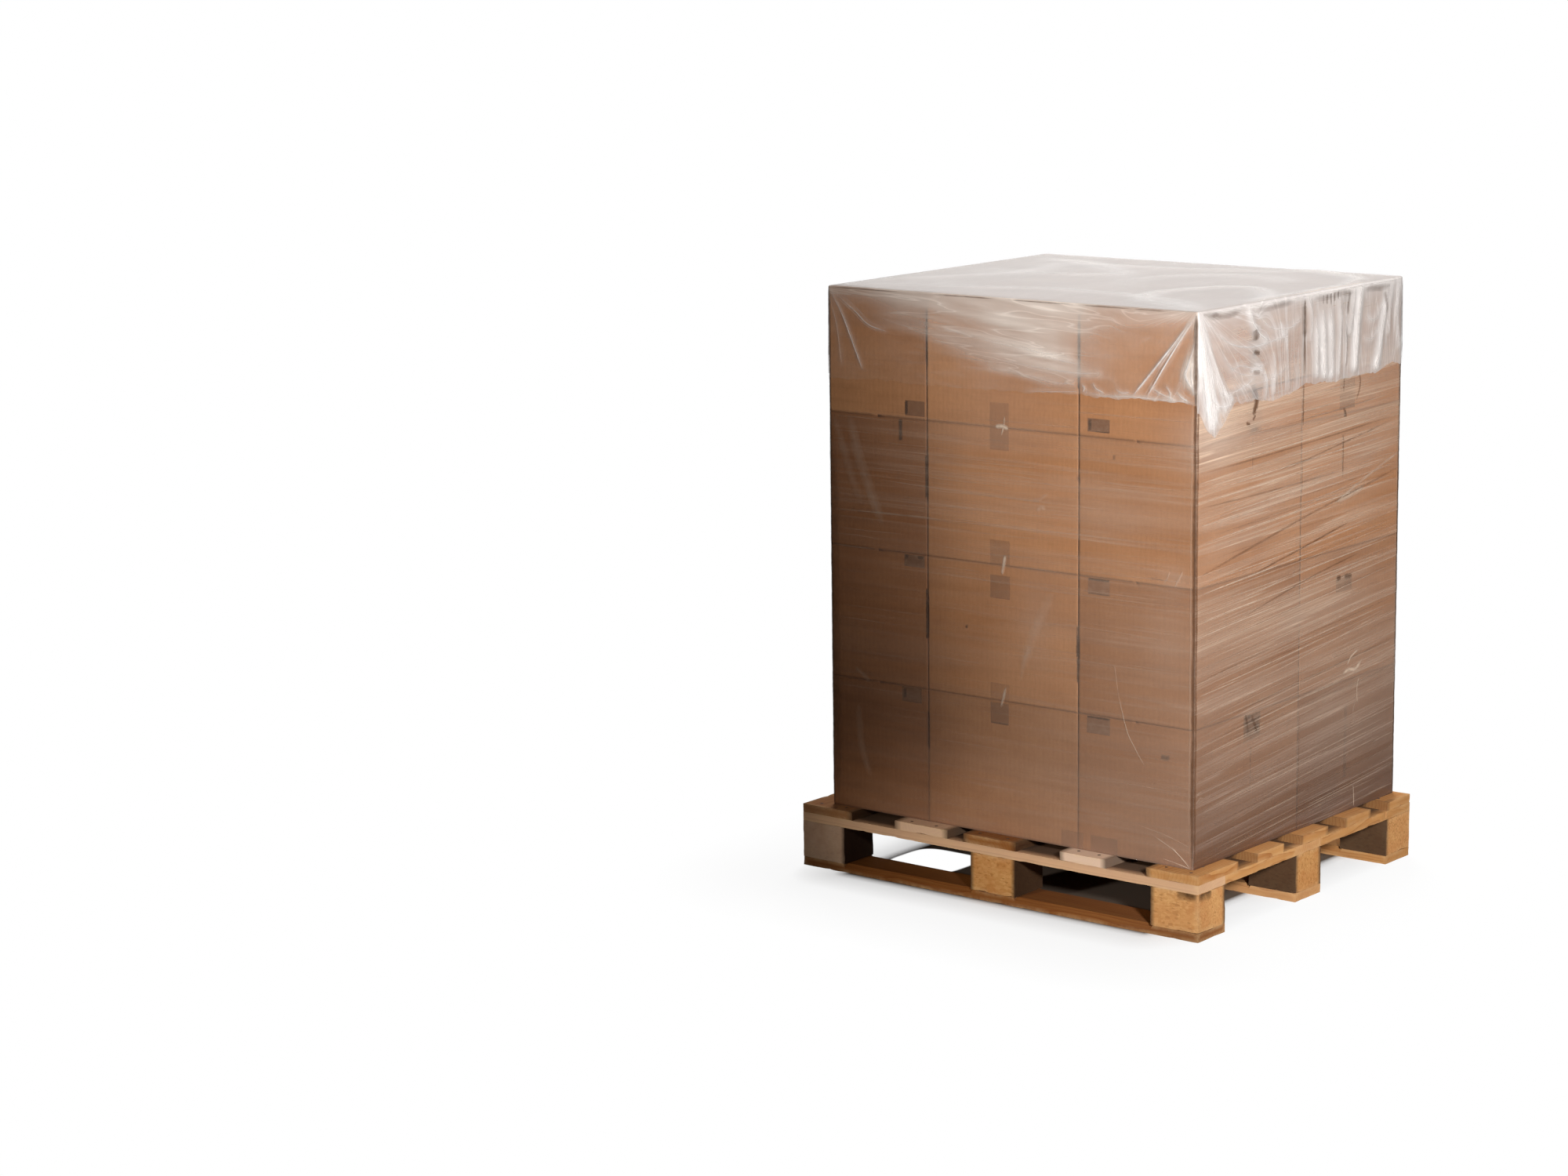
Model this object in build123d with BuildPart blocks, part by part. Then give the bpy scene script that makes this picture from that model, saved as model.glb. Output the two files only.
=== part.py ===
from build123d import *
import os

# Pallet load of cartons, in millimetres.
# +Z is up and the origin is on the floor, under the centre of the pallet.
# The wide face of the load is its front and looks along -Y.

# Pallet
pallet_length = 1200        # along X
pallet_width = 1000         # along Y
block_length = 135          # along X
block_width = 120           # along Y
block_height = 96
runner_width = 120
runner_thickness = 22
stringer_width = 120
stringer_thickness = 22
cross_board_width = 135
deck_thickness = 22
deck_board_widths = [160, 168, 161, 138, 149]
deck_gap_shares = [0.32, 0.11, 0.30, 0.27]
notch_count = 4
notch_width = 84
notch_depth = 75
notch_pitch = 208
notch_shift = 32            # the notches lie this far behind the middle of the board
arris = 1.5                 # sawn edges are broken by this much
lead_in_run = 14            # slope on the runners, where fork wheels roll over them
lead_in_rise = 9

# Cartons
outer_column_length = 469   # cartons of the left and right columns, along Y
left_column_width = 303     # along X
right_column_width = 333
middle_column_width = 452   # these cartons are turned, with their long side along X
carton_height = 339
top_carton_height = 314     # the top layer is a little lower
layer_count = 4
carton_gap = 1              # between neighbours in a layer; the layers stand on each other
carton_crease = 2.5         # folded edges and corners are broken by this much
flap_gap = 2
flap_thickness = 4
middle_count = 3            # cartons one behind another in the middle column
outer_count = 2             # and in the left and right columns
load_shift_x = 12           # the load stands this much off the pallet's centre
load_shift_y = 15

# Wrap
film_clearance = 0.3
film_thickness = 1.0
film_corner = 4             # inner radius of the film round the load's upright corners
sheet_thickness = 1.0
skirt_drop = 220            # the top sheet's edge hangs down this far
fold_width = 160            # at each corner its surplus lies against one side as a pointed fold,
fold_side_drop = 250        # which hangs lower than the edge:
fold_tip_drop = 296         # this low at its tip
fold_tip_share = 0.45       # the tip is this share of the width from the corner

# Levels
block_base = runner_thickness
stringer_base = block_base + block_height
deck_base = stringer_base + stringer_thickness
load_base = deck_base + deck_thickness
layer_heights = [carton_height] * (layer_count - 1) + [top_carton_height]
load_height = sum(layer_heights)
load_top = load_base + load_height

# Plan of the load
load_length = left_column_width + middle_column_width + right_column_width + 2 * carton_gap
load_depth = outer_count * outer_column_length + (outer_count - 1) * carton_gap
load_left = load_shift_x - load_length / 2
load_front = load_shift_y - load_depth / 2

# Plan of the pallet
block_x = pallet_length / 2 - block_length / 2
block_y = pallet_width / 2 - block_width / 2
rows = [("front", -block_y), ("middle", 0), ("back", block_y)]
columns = [("left", -block_x), ("centre", 0), ("right", block_x)]

os.makedirs("parts", exist_ok=True)


def save(piece, label):
    """Labels a finished piece and writes it."""
    piece.part.label = label
    export_step(piece.part, f"parts/{label}.step")


def make_timber(label, centre, length, width, base, thickness):
    """A sawn board or block with broken edges."""
    with BuildPart() as timber:
        with BuildSketch(Plane.XY.offset(base)):
            with Locations(centre):
                Rectangle(length, width)
        extrude(amount=thickness)
        chamfer(timber.edges(), arris)
    save(timber, label)


def make_runner(label, y):
    """A bottom board, with a sloped edge on both sides of each fork entry."""
    entry = block_x - block_length
    with BuildPart() as runner:
        with BuildSketch():
            with Locations((0, y)):
                Rectangle(pallet_length, runner_width)
        extrude(amount=runner_thickness)
        chamfer(runner.edges(), arris)
        for side in (-1, 1):
            edge = y + side * runner_width / 2
            for start in (-block_x + block_length / 2, block_length / 2):
                with BuildSketch(Plane.YZ.offset(start)):
                    with BuildLine():
                        Polyline(
                            (edge, runner_thickness - lead_in_rise),
                            (edge, runner_thickness),
                            (edge - side * lead_in_run, runner_thickness),
                            close=True,
                        )
                    make_face()
                extrude(amount=entry, mode=Mode.SUBTRACT)
    save(runner, label)


def make_deck_board(label, x, width, notched_side):
    """A top board across the pallet. The two outer ones are notched along their outer edge."""
    with BuildPart() as board:
        with BuildSketch(Plane.XY.offset(deck_base)):
            with Locations((x, 0)):
                Rectangle(width, pallet_width)
            if notched_side:
                edge = x + notched_side * (width - notch_depth) / 2
                with Locations((edge, notch_shift)):
                    with GridLocations(0, notch_pitch, 1, notch_count):
                        Rectangle(notch_depth, notch_width, mode=Mode.SUBTRACT)
        extrude(amount=deck_thickness)
        top_and_bottom = board.faces().filter_by(Axis.Z)
        chamfer(top_and_bottom.edges(), arris)
    save(board, label)


def make_carton(label, centre, length, width, base, height, flaps_along_x):
    """A closed carton: creased edges, and the line where its flaps meet, on top and below."""
    with BuildPart() as carton:
        with BuildSketch(Plane.XY.offset(base)):
            with Locations(centre):
                Rectangle(length, width)
        extrude(amount=height)
        chamfer(carton.edges(), carton_crease)
        line_size = (length, flap_gap) if flaps_along_x else (flap_gap, width)
        for level, depth in ((base, flap_thickness), (base + height, -flap_thickness)):
            with BuildSketch(Plane.XY.offset(level)):
                with Locations(centre):
                    Rectangle(*line_size)
            extrude(amount=depth, mode=Mode.SUBTRACT)
    save(carton, label)


def column_centres(count, length):
    """Middles of the cartons that share the load's depth, from front to back."""
    pitch = (load_depth - length) / (count - 1)
    return [load_front + length / 2 + pitch * n for n in range(count)]


# Runners, blocks and stringers
for row, y in rows:
    make_runner(f"runner_{row}", y)
    make_timber(
        f"stringer_{row}", (0, y), pallet_length, stringer_width, stringer_base, stringer_thickness
    )
    for column, x in columns:
        make_timber(
            f"block_{row}_{column}", (x, y), block_length, block_width, block_base, block_height
        )

# Cross boards, which fill the two ends between the stringers
cross_x = pallet_length / 2 - cross_board_width / 2
cross_length = block_y - stringer_width
for end, x in (("left", -cross_x), ("right", cross_x)):
    for half, y in (("front", -block_y / 2), ("back", block_y / 2)):
        make_timber(
            f"cross_board_{end}_{half}",
            (x, y),
            cross_board_width,
            cross_length,
            stringer_base,
            stringer_thickness,
        )

# Deck boards, from left to right
gap_total = pallet_length - sum(deck_board_widths)
deck_x = -pallet_length / 2
for number, board_width in enumerate(deck_board_widths, start=1):
    notched = {1: -1, len(deck_board_widths): 1}.get(number, 0)
    make_deck_board(f"deck_board_{number}", deck_x + board_width / 2, board_width, notched)
    if number <= len(deck_gap_shares):
        deck_x += board_width + gap_total * deck_gap_shares[number - 1]

# Cartons, layer by layer
middle_width = (load_depth - (middle_count - 1) * carton_gap) / middle_count
left_x = load_left + left_column_width / 2
middle_x = load_left + left_column_width + carton_gap + middle_column_width / 2
right_x = load_left + load_length - right_column_width / 2
layer_base = load_base
for layer, layer_height in enumerate(layer_heights, start=1):
    for column, x, width in (
        ("left", left_x, left_column_width),
        ("right", right_x, right_column_width),
    ):
        for n, y in enumerate(column_centres(outer_count, outer_column_length), start=1):
            make_carton(
                f"carton_layer{layer}_{column}_{n}",
                (x, y),
                width,
                outer_column_length,
                layer_base,
                layer_height,
                False,
            )
    for n, y in enumerate(column_centres(middle_count, middle_width), start=1):
        make_carton(
            f"carton_layer{layer}_middle_{n}",
            (middle_x, y),
            middle_column_width,
            middle_width,
            layer_base,
            layer_height,
            True,
        )
    layer_base += layer_height

# Stretch film, a sleeve round the four sides of the load
sleeve_length = load_length + 2 * (film_clearance + film_thickness)
sleeve_depth = load_depth + 2 * (film_clearance + film_thickness)
with BuildPart() as stretch_film:
    with BuildSketch(Plane.XY.offset(load_base)):
        with Locations((load_shift_x, load_shift_y)):
            RectangleRounded(sleeve_length, sleeve_depth, film_corner + film_thickness)
            offset(amount=-film_thickness, mode=Mode.SUBTRACT)
    extrude(amount=load_height)
save(stretch_film, "stretch_film")

# Top sheet, laid over the load and the film with its edge hanging down all round.
# The fold of each corner lies on the side that comes next, going round from front to right.
sheet_length = sleeve_length + 2 * (film_clearance + sheet_thickness)
sheet_depth = sleeve_depth + 2 * (film_clearance + sheet_thickness)
sheet_corner = film_corner + film_thickness + film_clearance + sheet_thickness
sheet_top = load_top + film_clearance + sheet_thickness
sides = [
    (-90, sheet_length, sheet_depth),
    (0, sheet_depth, sheet_length),
    (90, sheet_length, sheet_depth),
    (180, sheet_depth, sheet_length),
]
with BuildPart() as top_sheet:
    with BuildSketch(Plane.XY.offset(sheet_top - skirt_drop)):
        with Locations((load_shift_x, load_shift_y)):
            RectangleRounded(sheet_length, sheet_depth, sheet_corner)
    extrude(amount=skirt_drop)
    offset(amount=-sheet_thickness, openings=top_sheet.faces().sort_by(Axis.Z)[0])
    for direction, side_length, across in sides:
        outward = Vector(1, 0, 0).rotate(Axis.Z, direction)
        along = Vector(0, 1, 0).rotate(Axis.Z, direction)
        middle = Vector(load_shift_x, load_shift_y, sheet_top) + outward * (across / 2)
        start = sheet_corner - side_length / 2
        with BuildSketch(Plane(middle, x_dir=along, z_dir=outward)):
            with BuildLine():
                Polyline(
                    (start + fold_width, -skirt_drop),
                    (start, 0),
                    (start, -fold_side_drop),
                )
                ThreePointArc(
                    (start, -fold_side_drop),
                    (start + fold_width * fold_tip_share, -fold_tip_drop),
                    (start + fold_width, -skirt_drop),
                )
            make_face()
        extrude(amount=sheet_thickness)
save(top_sheet, "top_sheet")
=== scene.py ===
"""A wrapped pallet load: worn timber, taped cartons, stretch film and a clear top sheet."""

import math
import random

import bmesh
import bpy
import numpy as np
from mathutils import Matrix, Quaternion, Vector


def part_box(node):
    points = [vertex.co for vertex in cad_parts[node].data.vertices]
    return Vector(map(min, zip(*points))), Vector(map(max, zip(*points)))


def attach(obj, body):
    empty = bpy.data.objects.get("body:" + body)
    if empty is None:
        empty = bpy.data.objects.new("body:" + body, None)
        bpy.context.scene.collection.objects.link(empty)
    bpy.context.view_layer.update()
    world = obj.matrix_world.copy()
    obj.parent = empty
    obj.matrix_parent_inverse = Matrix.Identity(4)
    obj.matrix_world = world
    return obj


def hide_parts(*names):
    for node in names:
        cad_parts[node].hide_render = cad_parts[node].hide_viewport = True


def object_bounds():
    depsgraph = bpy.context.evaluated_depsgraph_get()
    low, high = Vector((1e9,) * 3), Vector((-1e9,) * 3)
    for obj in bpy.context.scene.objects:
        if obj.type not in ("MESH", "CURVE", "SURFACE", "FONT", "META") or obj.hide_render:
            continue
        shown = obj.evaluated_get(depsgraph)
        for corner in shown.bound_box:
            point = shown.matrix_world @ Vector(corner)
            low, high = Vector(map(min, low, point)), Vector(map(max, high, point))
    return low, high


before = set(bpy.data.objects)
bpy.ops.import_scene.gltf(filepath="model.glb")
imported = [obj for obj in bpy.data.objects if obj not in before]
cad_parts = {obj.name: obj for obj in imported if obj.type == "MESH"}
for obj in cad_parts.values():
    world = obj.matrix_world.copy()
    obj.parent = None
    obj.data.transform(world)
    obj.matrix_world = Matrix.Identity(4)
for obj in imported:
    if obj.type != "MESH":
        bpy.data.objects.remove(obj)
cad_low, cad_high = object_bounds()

MM = 0.001
NODES = sorted(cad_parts)
CARTONS = [n for n in NODES if n.startswith("carton_")]
TIMBERS = [n for n in NODES if n not in CARTONS and n not in ("stretch_film", "top_sheet")]
PALLET_X = cad_high.x
PALLET_Y = cad_high.y
corners = np.array([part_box(n) for n in CARTONS])
LOAD_LOW = Vector(corners[:, 0].min(axis=0))
LOAD_HIGH = Vector(corners[:, 1].max(axis=0))
SEAM_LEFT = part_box("carton_layer1_left_1")[1].x
SEAM_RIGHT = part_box("carton_layer1_right_1")[0].x
TOP_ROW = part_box("carton_layer4_left_1")[0].z

# The photograph's frame and its fitted camera, with yaw, pitch and roll in degrees
PHOTO_WIDTH = 2000
FOCAL_PIXELS = 4627.28
SENSOR_WIDTH = 36.0
CAMERA_PLACE = Vector((5.1001, -7.5254, 2.4620))
CAMERA_TURN = (39.3145, 10.8643, -0.775)


# Noise and curves

def value_noise(x, y, seed):
    """Smooth noise from 0 to 1 over a plane, the same on each run."""
    size = 256
    lattice = np.random.default_rng(seed).random((size, size))
    xi, yi = np.floor(x).astype(int), np.floor(y).astype(int)
    fx, fy = (t * t * (3 - 2 * t) for t in (x - xi, y - yi))
    low, high = (
        lattice[xi % size, row % size] * (1 - fx) + lattice[(xi + 1) % size, row % size] * fx
        for row in (yi, yi + 1)
    )
    return low * (1 - fy) + high * fy


def smooth_curve(points, per_span=8):
    """Points along a smooth curve through the given ones."""
    if len(points) == 2:
        return np.linspace(points[0], points[1], per_span * 2 + 1)
    p = np.array([points[0], *points, points[-1]], float)
    curve = []
    for a, b, c, d in zip(p, p[1:], p[2:], p[3:]):
        for t in np.arange(per_span) / per_span:
            bend = (2 * a - 5 * b + 4 * c - d) * t * t + (3 * b - a - 3 * c + d) * t ** 3
            curve.append(0.5 * (2 * b + (c - a) * t + bend))
    return np.array([*curve, p[-2]])


def distance_to(points, line):
    """Distance of each point to a polyline, and how far along it the nearest place is, 0 to 1."""
    best = np.full(len(points), 1e9)
    share = np.zeros(len(points))
    for n, (a, b) in enumerate(zip(line, line[1:])):
        step = b - a
        t = np.clip(((points - a) @ step) / max(step @ step, 1e-12), 0, 1)
        gap = np.linalg.norm(points - a - t[:, None] * step, axis=1)
        nearer = gap < best
        best[nearer] = gap[nearer]
        share[nearer] = (n + t[nearer]) / (len(line) - 1)
    return best, share


def tapered(share, start, end):
    """1 along a line, falling to 0 at its two ends; the numbers say how fast."""
    return np.clip(np.minimum(share * start, (1 - share) * end), 0, 1)


def sideways(line):
    """Unit steps across a line of points in a plane."""
    step = np.gradient(line, axis=0)
    step /= np.maximum(np.linalg.norm(step, axis=1, keepdims=True), 1e-9)
    return np.stack([-step[:, 1], step[:, 0]], axis=1)


# Materials

class Shader:
    """A node material round one Principled surface."""

    def __init__(self, name, **surface):
        self.material = bpy.data.materials.new(name)
        self.material.use_nodes = True
        self.tree = self.material.node_tree
        self.surface = self.tree.nodes["Principled BSDF"]
        for socket, value in surface.items():
            self.set(socket, value)

    def feed(self, socket, value):
        if isinstance(value, bpy.types.NodeSocket):
            self.tree.links.new(value, socket)
        else:
            socket.default_value = value

    def set(self, socket, value):
        self.feed(self.surface.inputs[socket], value)

    def add(self, kind, inputs, **settings):
        made = self.tree.nodes.new("ShaderNode" + kind)
        for name, value in settings.items():
            setattr(made, name, value)
        for socket, value in inputs.items():
            self.feed(made.inputs[socket], value)
        return made

    def attribute(self, name):
        output = "Vector" if name in ("pattern", "lay") else "Fac"
        return self.add("Attribute", {}, attribute_name=name).outputs[output]

    def scaled(self, vector, scale):
        return self.add("Mapping", {0: vector, "Scale": scale}).outputs[0]

    def noise(self, vector, scale, detail=4.0, roughness=0.55, distortion=0.0):
        """Noise of one scale, or of one scale for each axis."""
        if isinstance(scale, tuple):
            vector, scale = self.scaled(vector, scale), 1.0
        inputs = {
            "Vector": vector, "Scale": scale, "Detail": detail, "Roughness": roughness,
            "Distortion": distortion,
        }
        return self.add("TexNoise", inputs).outputs["Fac"]

    def cells(self, vector, scale):
        inputs = {"Vector": self.scaled(vector, scale), "Scale": 1.0}
        return self.add("TexVoronoi", inputs, feature="F1").outputs

    def ramp(self, factor, *stops):
        """Colours, or greys as plain numbers, at places from 0 to 1."""
        made = self.add("ValToRGB", {0: factor})
        points = made.color_ramp.elements
        while len(points) < len(stops):
            points.new(1.0)
        for point, (place, colour) in zip(points, stops):
            point.position = place
            point.color = (*colour, 1) if isinstance(colour, tuple) else (colour, colour, colour, 1)
        return made.outputs[0]

    def blend(self, factor, a, b, mode="MIX"):
        made = self.add("Mix", {0: factor}, data_type="RGBA", blend_type=mode)
        for socket, value in ((made.inputs[6], a), (made.inputs[7], b)):
            self.feed(socket, (*value, 1) if isinstance(value, tuple) else value)
        return made.outputs[2]

    def stained(self, colour, *layers):
        """Lays colours over one: each as a value, where it starts and is full, its share and colour."""
        for value, start, full, share, over in layers:
            colour = self.blend(self.ramp(value, (start, 0.0), (full, share)), colour, over)
        return colour

    def math(self, operation, a, b=0.0, clamp=False):
        made = self.add("Math", {0: a, 1: b}, operation=operation, use_clamp=clamp)
        return made.outputs[0]

    def times(self, a, b, clamp=False):
        return self.math("MULTIPLY", a, b, clamp)

    def total(self, first, *others, clamp=False):
        """A sum of values, in which a pair is a value and its weight."""
        result = self.times(*first) if isinstance(first, tuple) else first
        for other in others:
            term = self.times(*other) if isinstance(other, tuple) else other
            result = self.math("ADD", result, term, clamp)
        return result

    def parts(self, vector):
        return self.add("SeparateXYZ", {0: vector}).outputs

    def bump(self, strength, distance, *heights):
        inputs = {"Height": self.total(*heights), "Strength": strength, "Distance": distance}
        self.set("Normal", self.add("Bump", inputs).outputs[0])


def srgb(red, green, blue):
    """A colour given as seen on screen, 0 to 255, in linear light."""
    return tuple(
        c / 255 / 12.92 if c / 255 <= 0.04045 else ((c / 255 + 0.055) / 1.055) ** 2.4
        for c in (red, green, blue)
    )


def wood_material(name, pale, deep, grey):
    """Rough sawn softwood: rings round the pith, grain along the board, knots and sawn ends."""
    s = Shader(name, Roughness=0.78)
    pattern = s.attribute("pattern")
    along, across, thick = s.parts(pattern)
    wander = (s.noise(pattern, (2.2, 9.0, 9.0), 2.0), 0.045)
    place = {0: s.times(along, 0.04), 1: s.total(across, wander), 2: s.total(thick, wander)}
    rings = s.add(
        "TexWave",
        {"Vector": s.add("CombineXYZ", place).outputs[0], "Scale": 36.0, "Distortion": 1.2,
         "Detail": 2.0, "Detail Scale": 1.5},
        wave_type="RINGS", rings_direction="X", wave_profile="SAW",
    ).outputs["Fac"]
    fibre = s.noise(pattern, (5.0, 420.0, 420.0), 5.0, 0.6)
    streak = s.noise(pattern, (1.6, 34.0, 34.0), 4.0, 0.6)
    blotch = s.noise(pattern, 5.5, 5.0, 0.6)
    cut = s.noise(pattern, (30.0, 60.0, 60.0), 4.0, 0.7)
    colour = s.blend(s.ramp(rings, (0.0, 0.0), (0.75, 0.35), (1.0, 1.0)), pale, deep)
    colour = s.stained(
        colour, (streak, 0.42, 0.72, 0.55, deep), (fibre, 0.5, 0.72, 0.30, deep),
        (blotch, 0.48, 0.75, 0.30, grey),
    )
    knots = s.cells(pattern, (3.6, 8.5, 8.5))["Distance"]
    colour = s.blend(s.ramp(knots, (0.0, 0.75), (0.085, 0.6), (0.13, 0.0)), colour, srgb(92, 52, 24))
    sawn = s.blend(0.55, s.blend(s.times(cut, 0.5), pale, deep), colour)
    s.set("Base Color", worn_timber(s, pattern, s.blend(s.attribute("end_grain"), colour, sawn)))
    s.bump(0.55, 0.0012, (fibre, 0.6), (rings, 0.25), (cut, 0.5))
    return s.material


def worn_timber(s, pattern, colour):
    """The tone of the single piece of wood with its painted shade, its rubbed arrises, its age, and the painted
    shade of its inner faces.
    """
    tone = s.attribute("tone")
    # a low tone darkens the wood towards the saturated orange of wood in shade: painted shade
    colour = s.blend(
        1.0, colour, s.ramp(tone, (0.0, (0.40, 0.27, 0.15)), (0.5, 1.0), (1.0, 1.0)), "MULTIPLY",
    )
    colour = s.stained(colour, (tone, 0.5, 1.0, 0.8, srgb(238, 208, 184)))
    worn = s.noise(pattern, 20.0, 4.0, 0.7)
    edge = s.times(s.attribute("arris"), s.ramp(worn, (0.35, 0.0), (0.7, 0.45)))
    colour = s.blend(edge, colour, srgb(226, 190, 140))
    aged = s.blend(worn, srgb(150, 124, 106), srgb(204, 178, 158))
    colour = s.blend(s.attribute("aged"), colour, aged)
    # the faces that look into the pallet and the notches darken to a near black brown: painted shade
    return s.blend(s.attribute("painted_shade"), colour, s.blend(worn, srgb(30, 17, 8), srgb(62, 38, 20)))


def chip_material():
    """Pressed wood chips: small flakes of several browns, some of them dark."""
    s = Shader("block_wood", Roughness=0.82)
    pattern = s.attribute("pattern")
    hue = s.parts(s.cells(pattern, (110.0, 250.0, 250.0))["Color"])[0]
    cloud = s.noise(pattern, 16.0, 5.0, 0.65)
    colour = s.stained(
        s.blend(hue, srgb(216, 162, 100), srgb(196, 138, 76)),
        (cloud, 0.40, 0.68, 0.55, srgb(190, 118, 58)), (hue, 0.88, 0.95, 0.20, srgb(116, 70, 34)),
    )
    s.set("Base Color", worn_timber(s, pattern, colour))
    s.bump(0.5, 0.0010, (hue, 0.5), cloud)
    return s.material


def board_material():
    """Brown kraft board: fibres, faint fluting, scuffs, painted shade from the tone, and worn creases darkened
    partly by painted shade.
    """
    s = Shader("carton_board", Roughness=0.72)
    pattern = s.attribute("pattern")
    cloud = s.noise(pattern, 3.0)
    fibre = s.noise(pattern, (190.0, 190.0, 60.0), 3.0, 0.65)
    drag = s.noise(pattern, (3.0, 3.0, 42.0), 4.0, 0.6)
    flute = s.add(
        "TexWave", {"Vector": pattern, "Scale": 22.0, "Distortion": 0.35, "Detail": 1.0},
        wave_type="BANDS", bands_direction="X",
    ).outputs["Fac"]
    colour = s.stained(
        srgb(180, 122, 76), (cloud, 0.3, 0.7, 1.0, srgb(198, 142, 96)),
        (fibre, 0.35, 0.7, 0.22, srgb(142, 92, 52)), (flute, 0.0, 1.0, 0.07, srgb(120, 78, 48)),
        (drag, 0.45, 0.75, 0.30, srgb(136, 86, 48)),
    )
    # a low tone darkens the board towards a grey brown: painted shade
    shade = s.ramp(s.attribute("tone"), (0.0, (0.46, 0.38, 0.30)), (1.0, 1.0))
    colour = s.blend(1.0, colour, shade, "MULTIPLY")
    s.set("Base Color", s.blend(s.times(s.attribute("crease_dirt_and_shade"), 0.75), colour, srgb(84, 48, 26)))
    s.bump(0.25, 0.0006, (flute, 0.5), (fibre, 0.4))
    return s.material


def tape_material():
    """Buff packing tape, a little glossy, with air caught below it."""
    s = Shader("packing_tape", Roughness=0.34, IOR=1.48)
    caught = s.noise(s.attribute("pattern"), 55.0, 3.0, 0.6)
    colour = s.blend(s.attribute("tone"), srgb(80, 58, 44), srgb(172, 122, 90))
    s.set("Base Color", s.stained(colour, (caught, 0.45, 0.68, 0.2, srgb(190, 160, 134))))
    s.set("Alpha", s.attribute("cover"))
    s.bump(0.3, 0.0006, caught)
    return s.material


def scuff_and_shade_material():
    """Dark scuffs, and painted shade in gaps: soft, ragged patches."""
    s = Shader("scuffs_and_painted_shade", Roughness=0.9)
    ragged = s.noise(s.attribute("pattern"), 70.0, 4.0, 0.7)
    s.set("Base Color", s.blend(ragged, srgb(44, 26, 16), srgb(92, 62, 42)))
    s.set("Alpha", s.times(s.attribute("cover"), s.ramp(ragged, (0.34, 0.35), (0.6, 1.0)), True))
    return s.material


def film_material():
    """Stretch film: clear, with haze in bands and fine drawn lines along the wrap."""
    s = Shader("stretch_film", Roughness=0.24, IOR=1.5)
    lay = s.attribute("lay")
    fine = s.noise(lay, (0.7, 70.0, 1.0), 2.0, 0.5)
    close = s.noise(lay, (1.1, 150.0, 1.0), 1.0, 0.5)
    band = s.noise(lay, (0.6, 21.0, 1.0), 2.0, 0.5)
    broad = s.noise(lay, (0.7, 8.0, 1.0), 2.0, 0.5)
    crumple = s.noise(lay, (9.0, 60.0, 1.0), 5.0, 0.7, 0.4)
    # pleats: a crisp crest on one side and a soft fall on the other
    crests = s.ramp(fine, (0.475, 0.0), (0.500, 1.0), (0.512, 0.35), (0.58, 0.0))
    small = s.ramp(close, (0.47, 0.0), (0.500, 0.4), (0.52, 0.12), (0.58, 0.0))
    edges = s.ramp(band, (0.47, 0.0), (0.495, 1.0), (0.60, 0.35), (0.68, 0.1))
    pleats = s.times(s.total(crests, small), s.math("ADD", s.times(edges, 0.22), 0.10))
    cover = s.total(
        pleats, s.ramp(crumple, (0.50, 0.0), (0.72, 0.05)), (edges, 0.15),
        s.ramp(broad, (0.42, 0.0), (0.60, 0.15)),
    )
    cover = s.times(cover, s.attribute("drawn"))
    s.set("Alpha", s.total(cover, s.attribute("haze"), clamp=True))
    # towards the foot the film turns a darker mauve grey: partly the many turns of film, partly painted shade
    # of the load's lower part
    foot = s.attribute("foot")
    hazy = s.blend(foot, srgb(222, 194, 174), srgb(94, 72, 62))
    drawn = s.blend(foot, srgb(238, 208, 182), srgb(176, 150, 136))
    s.set("Base Color", s.stained(hazy, (cover, 0.0, 0.3, 1.0, drawn)))
    s.bump(0.2, 0.001, (fine, 0.8), (crumple, 0.5))
    return s.material


def sheet_material():
    """Clear polyethylene laid over the top, milky where it folds and lies double."""
    s = Shader("top_sheet", Roughness=0.26, IOR=1.5)
    lay, haze, drawn = s.attribute("lay"), s.attribute("haze"), s.attribute("drawn")
    broad = s.noise(lay, 3.4, 4.0, 0.55, 0.6)
    fine = s.noise(lay, (55.0, 9.0, 1.0), 4.0, 0.65, 0.5)
    cover = s.total(
        s.ramp(broad, (0.40, 0.0), (0.75, 0.12)), s.ramp(fine, (0.52, 0.0), (0.78, 0.15)),
    )
    # crisp creases, only on the hanging edge and where it is milky
    creased = s.noise(lay, (30.0, 3.0, 1.0), 2.0, 0.5, 0.5)
    crisp = s.ramp(creased, (0.475, 0.0), (0.50, 0.22), (0.52, 0.044), (0.58, 0.0))
    hanging = s.ramp(drawn, (0.42, 0.0), (0.50, 1.0))
    milky = s.times(s.ramp(haze, (0.06, 0.0), (0.34, 1.0)), hanging)
    cover = s.total((cover, drawn), (crisp, milky))
    s.set("Alpha", s.total(cover, haze, clamp=True))
    # a little warmer on the long sides, where the light comes through it from the cartons
    warm = s.ramp(drawn, (0.42, 0.0), (0.5, 1.0), (0.7, 1.0), (1.0, 0.0))
    s.set("Base Color", s.blend(warm, srgb(240, 233, 229), srgb(246, 231, 218)))
    s.bump(0.3, 0.0015, fine, broad)
    return s.material


def strand_material(name, shaded, pale):
    """Crests of pleats: pale where they catch the light and brown where they turn from it."""
    s = Shader(name, Roughness=0.28, IOR=1.5)
    broken = s.noise(s.attribute("pattern"), 26.0, 3.0, 0.6)
    s.set("Base Color", s.blend(s.attribute("tone"), shaded, pale))
    s.set("Alpha", s.times(s.attribute("cover"), s.ramp(broken, (0.30, 0.45), (0.62, 1.0)), True))
    return s.material


def nail_material():
    """Nail heads, dulled and a little rusty."""
    s = Shader("nail_steel", Roughness=0.5, Metallic=0.7)
    spot = s.noise(s.attribute("pattern"), 900.0, 3.0)
    s.set("Base Color", s.blend(spot, srgb(110, 104, 98), srgb(104, 66, 40)))
    return s.material


# Meshes

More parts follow.
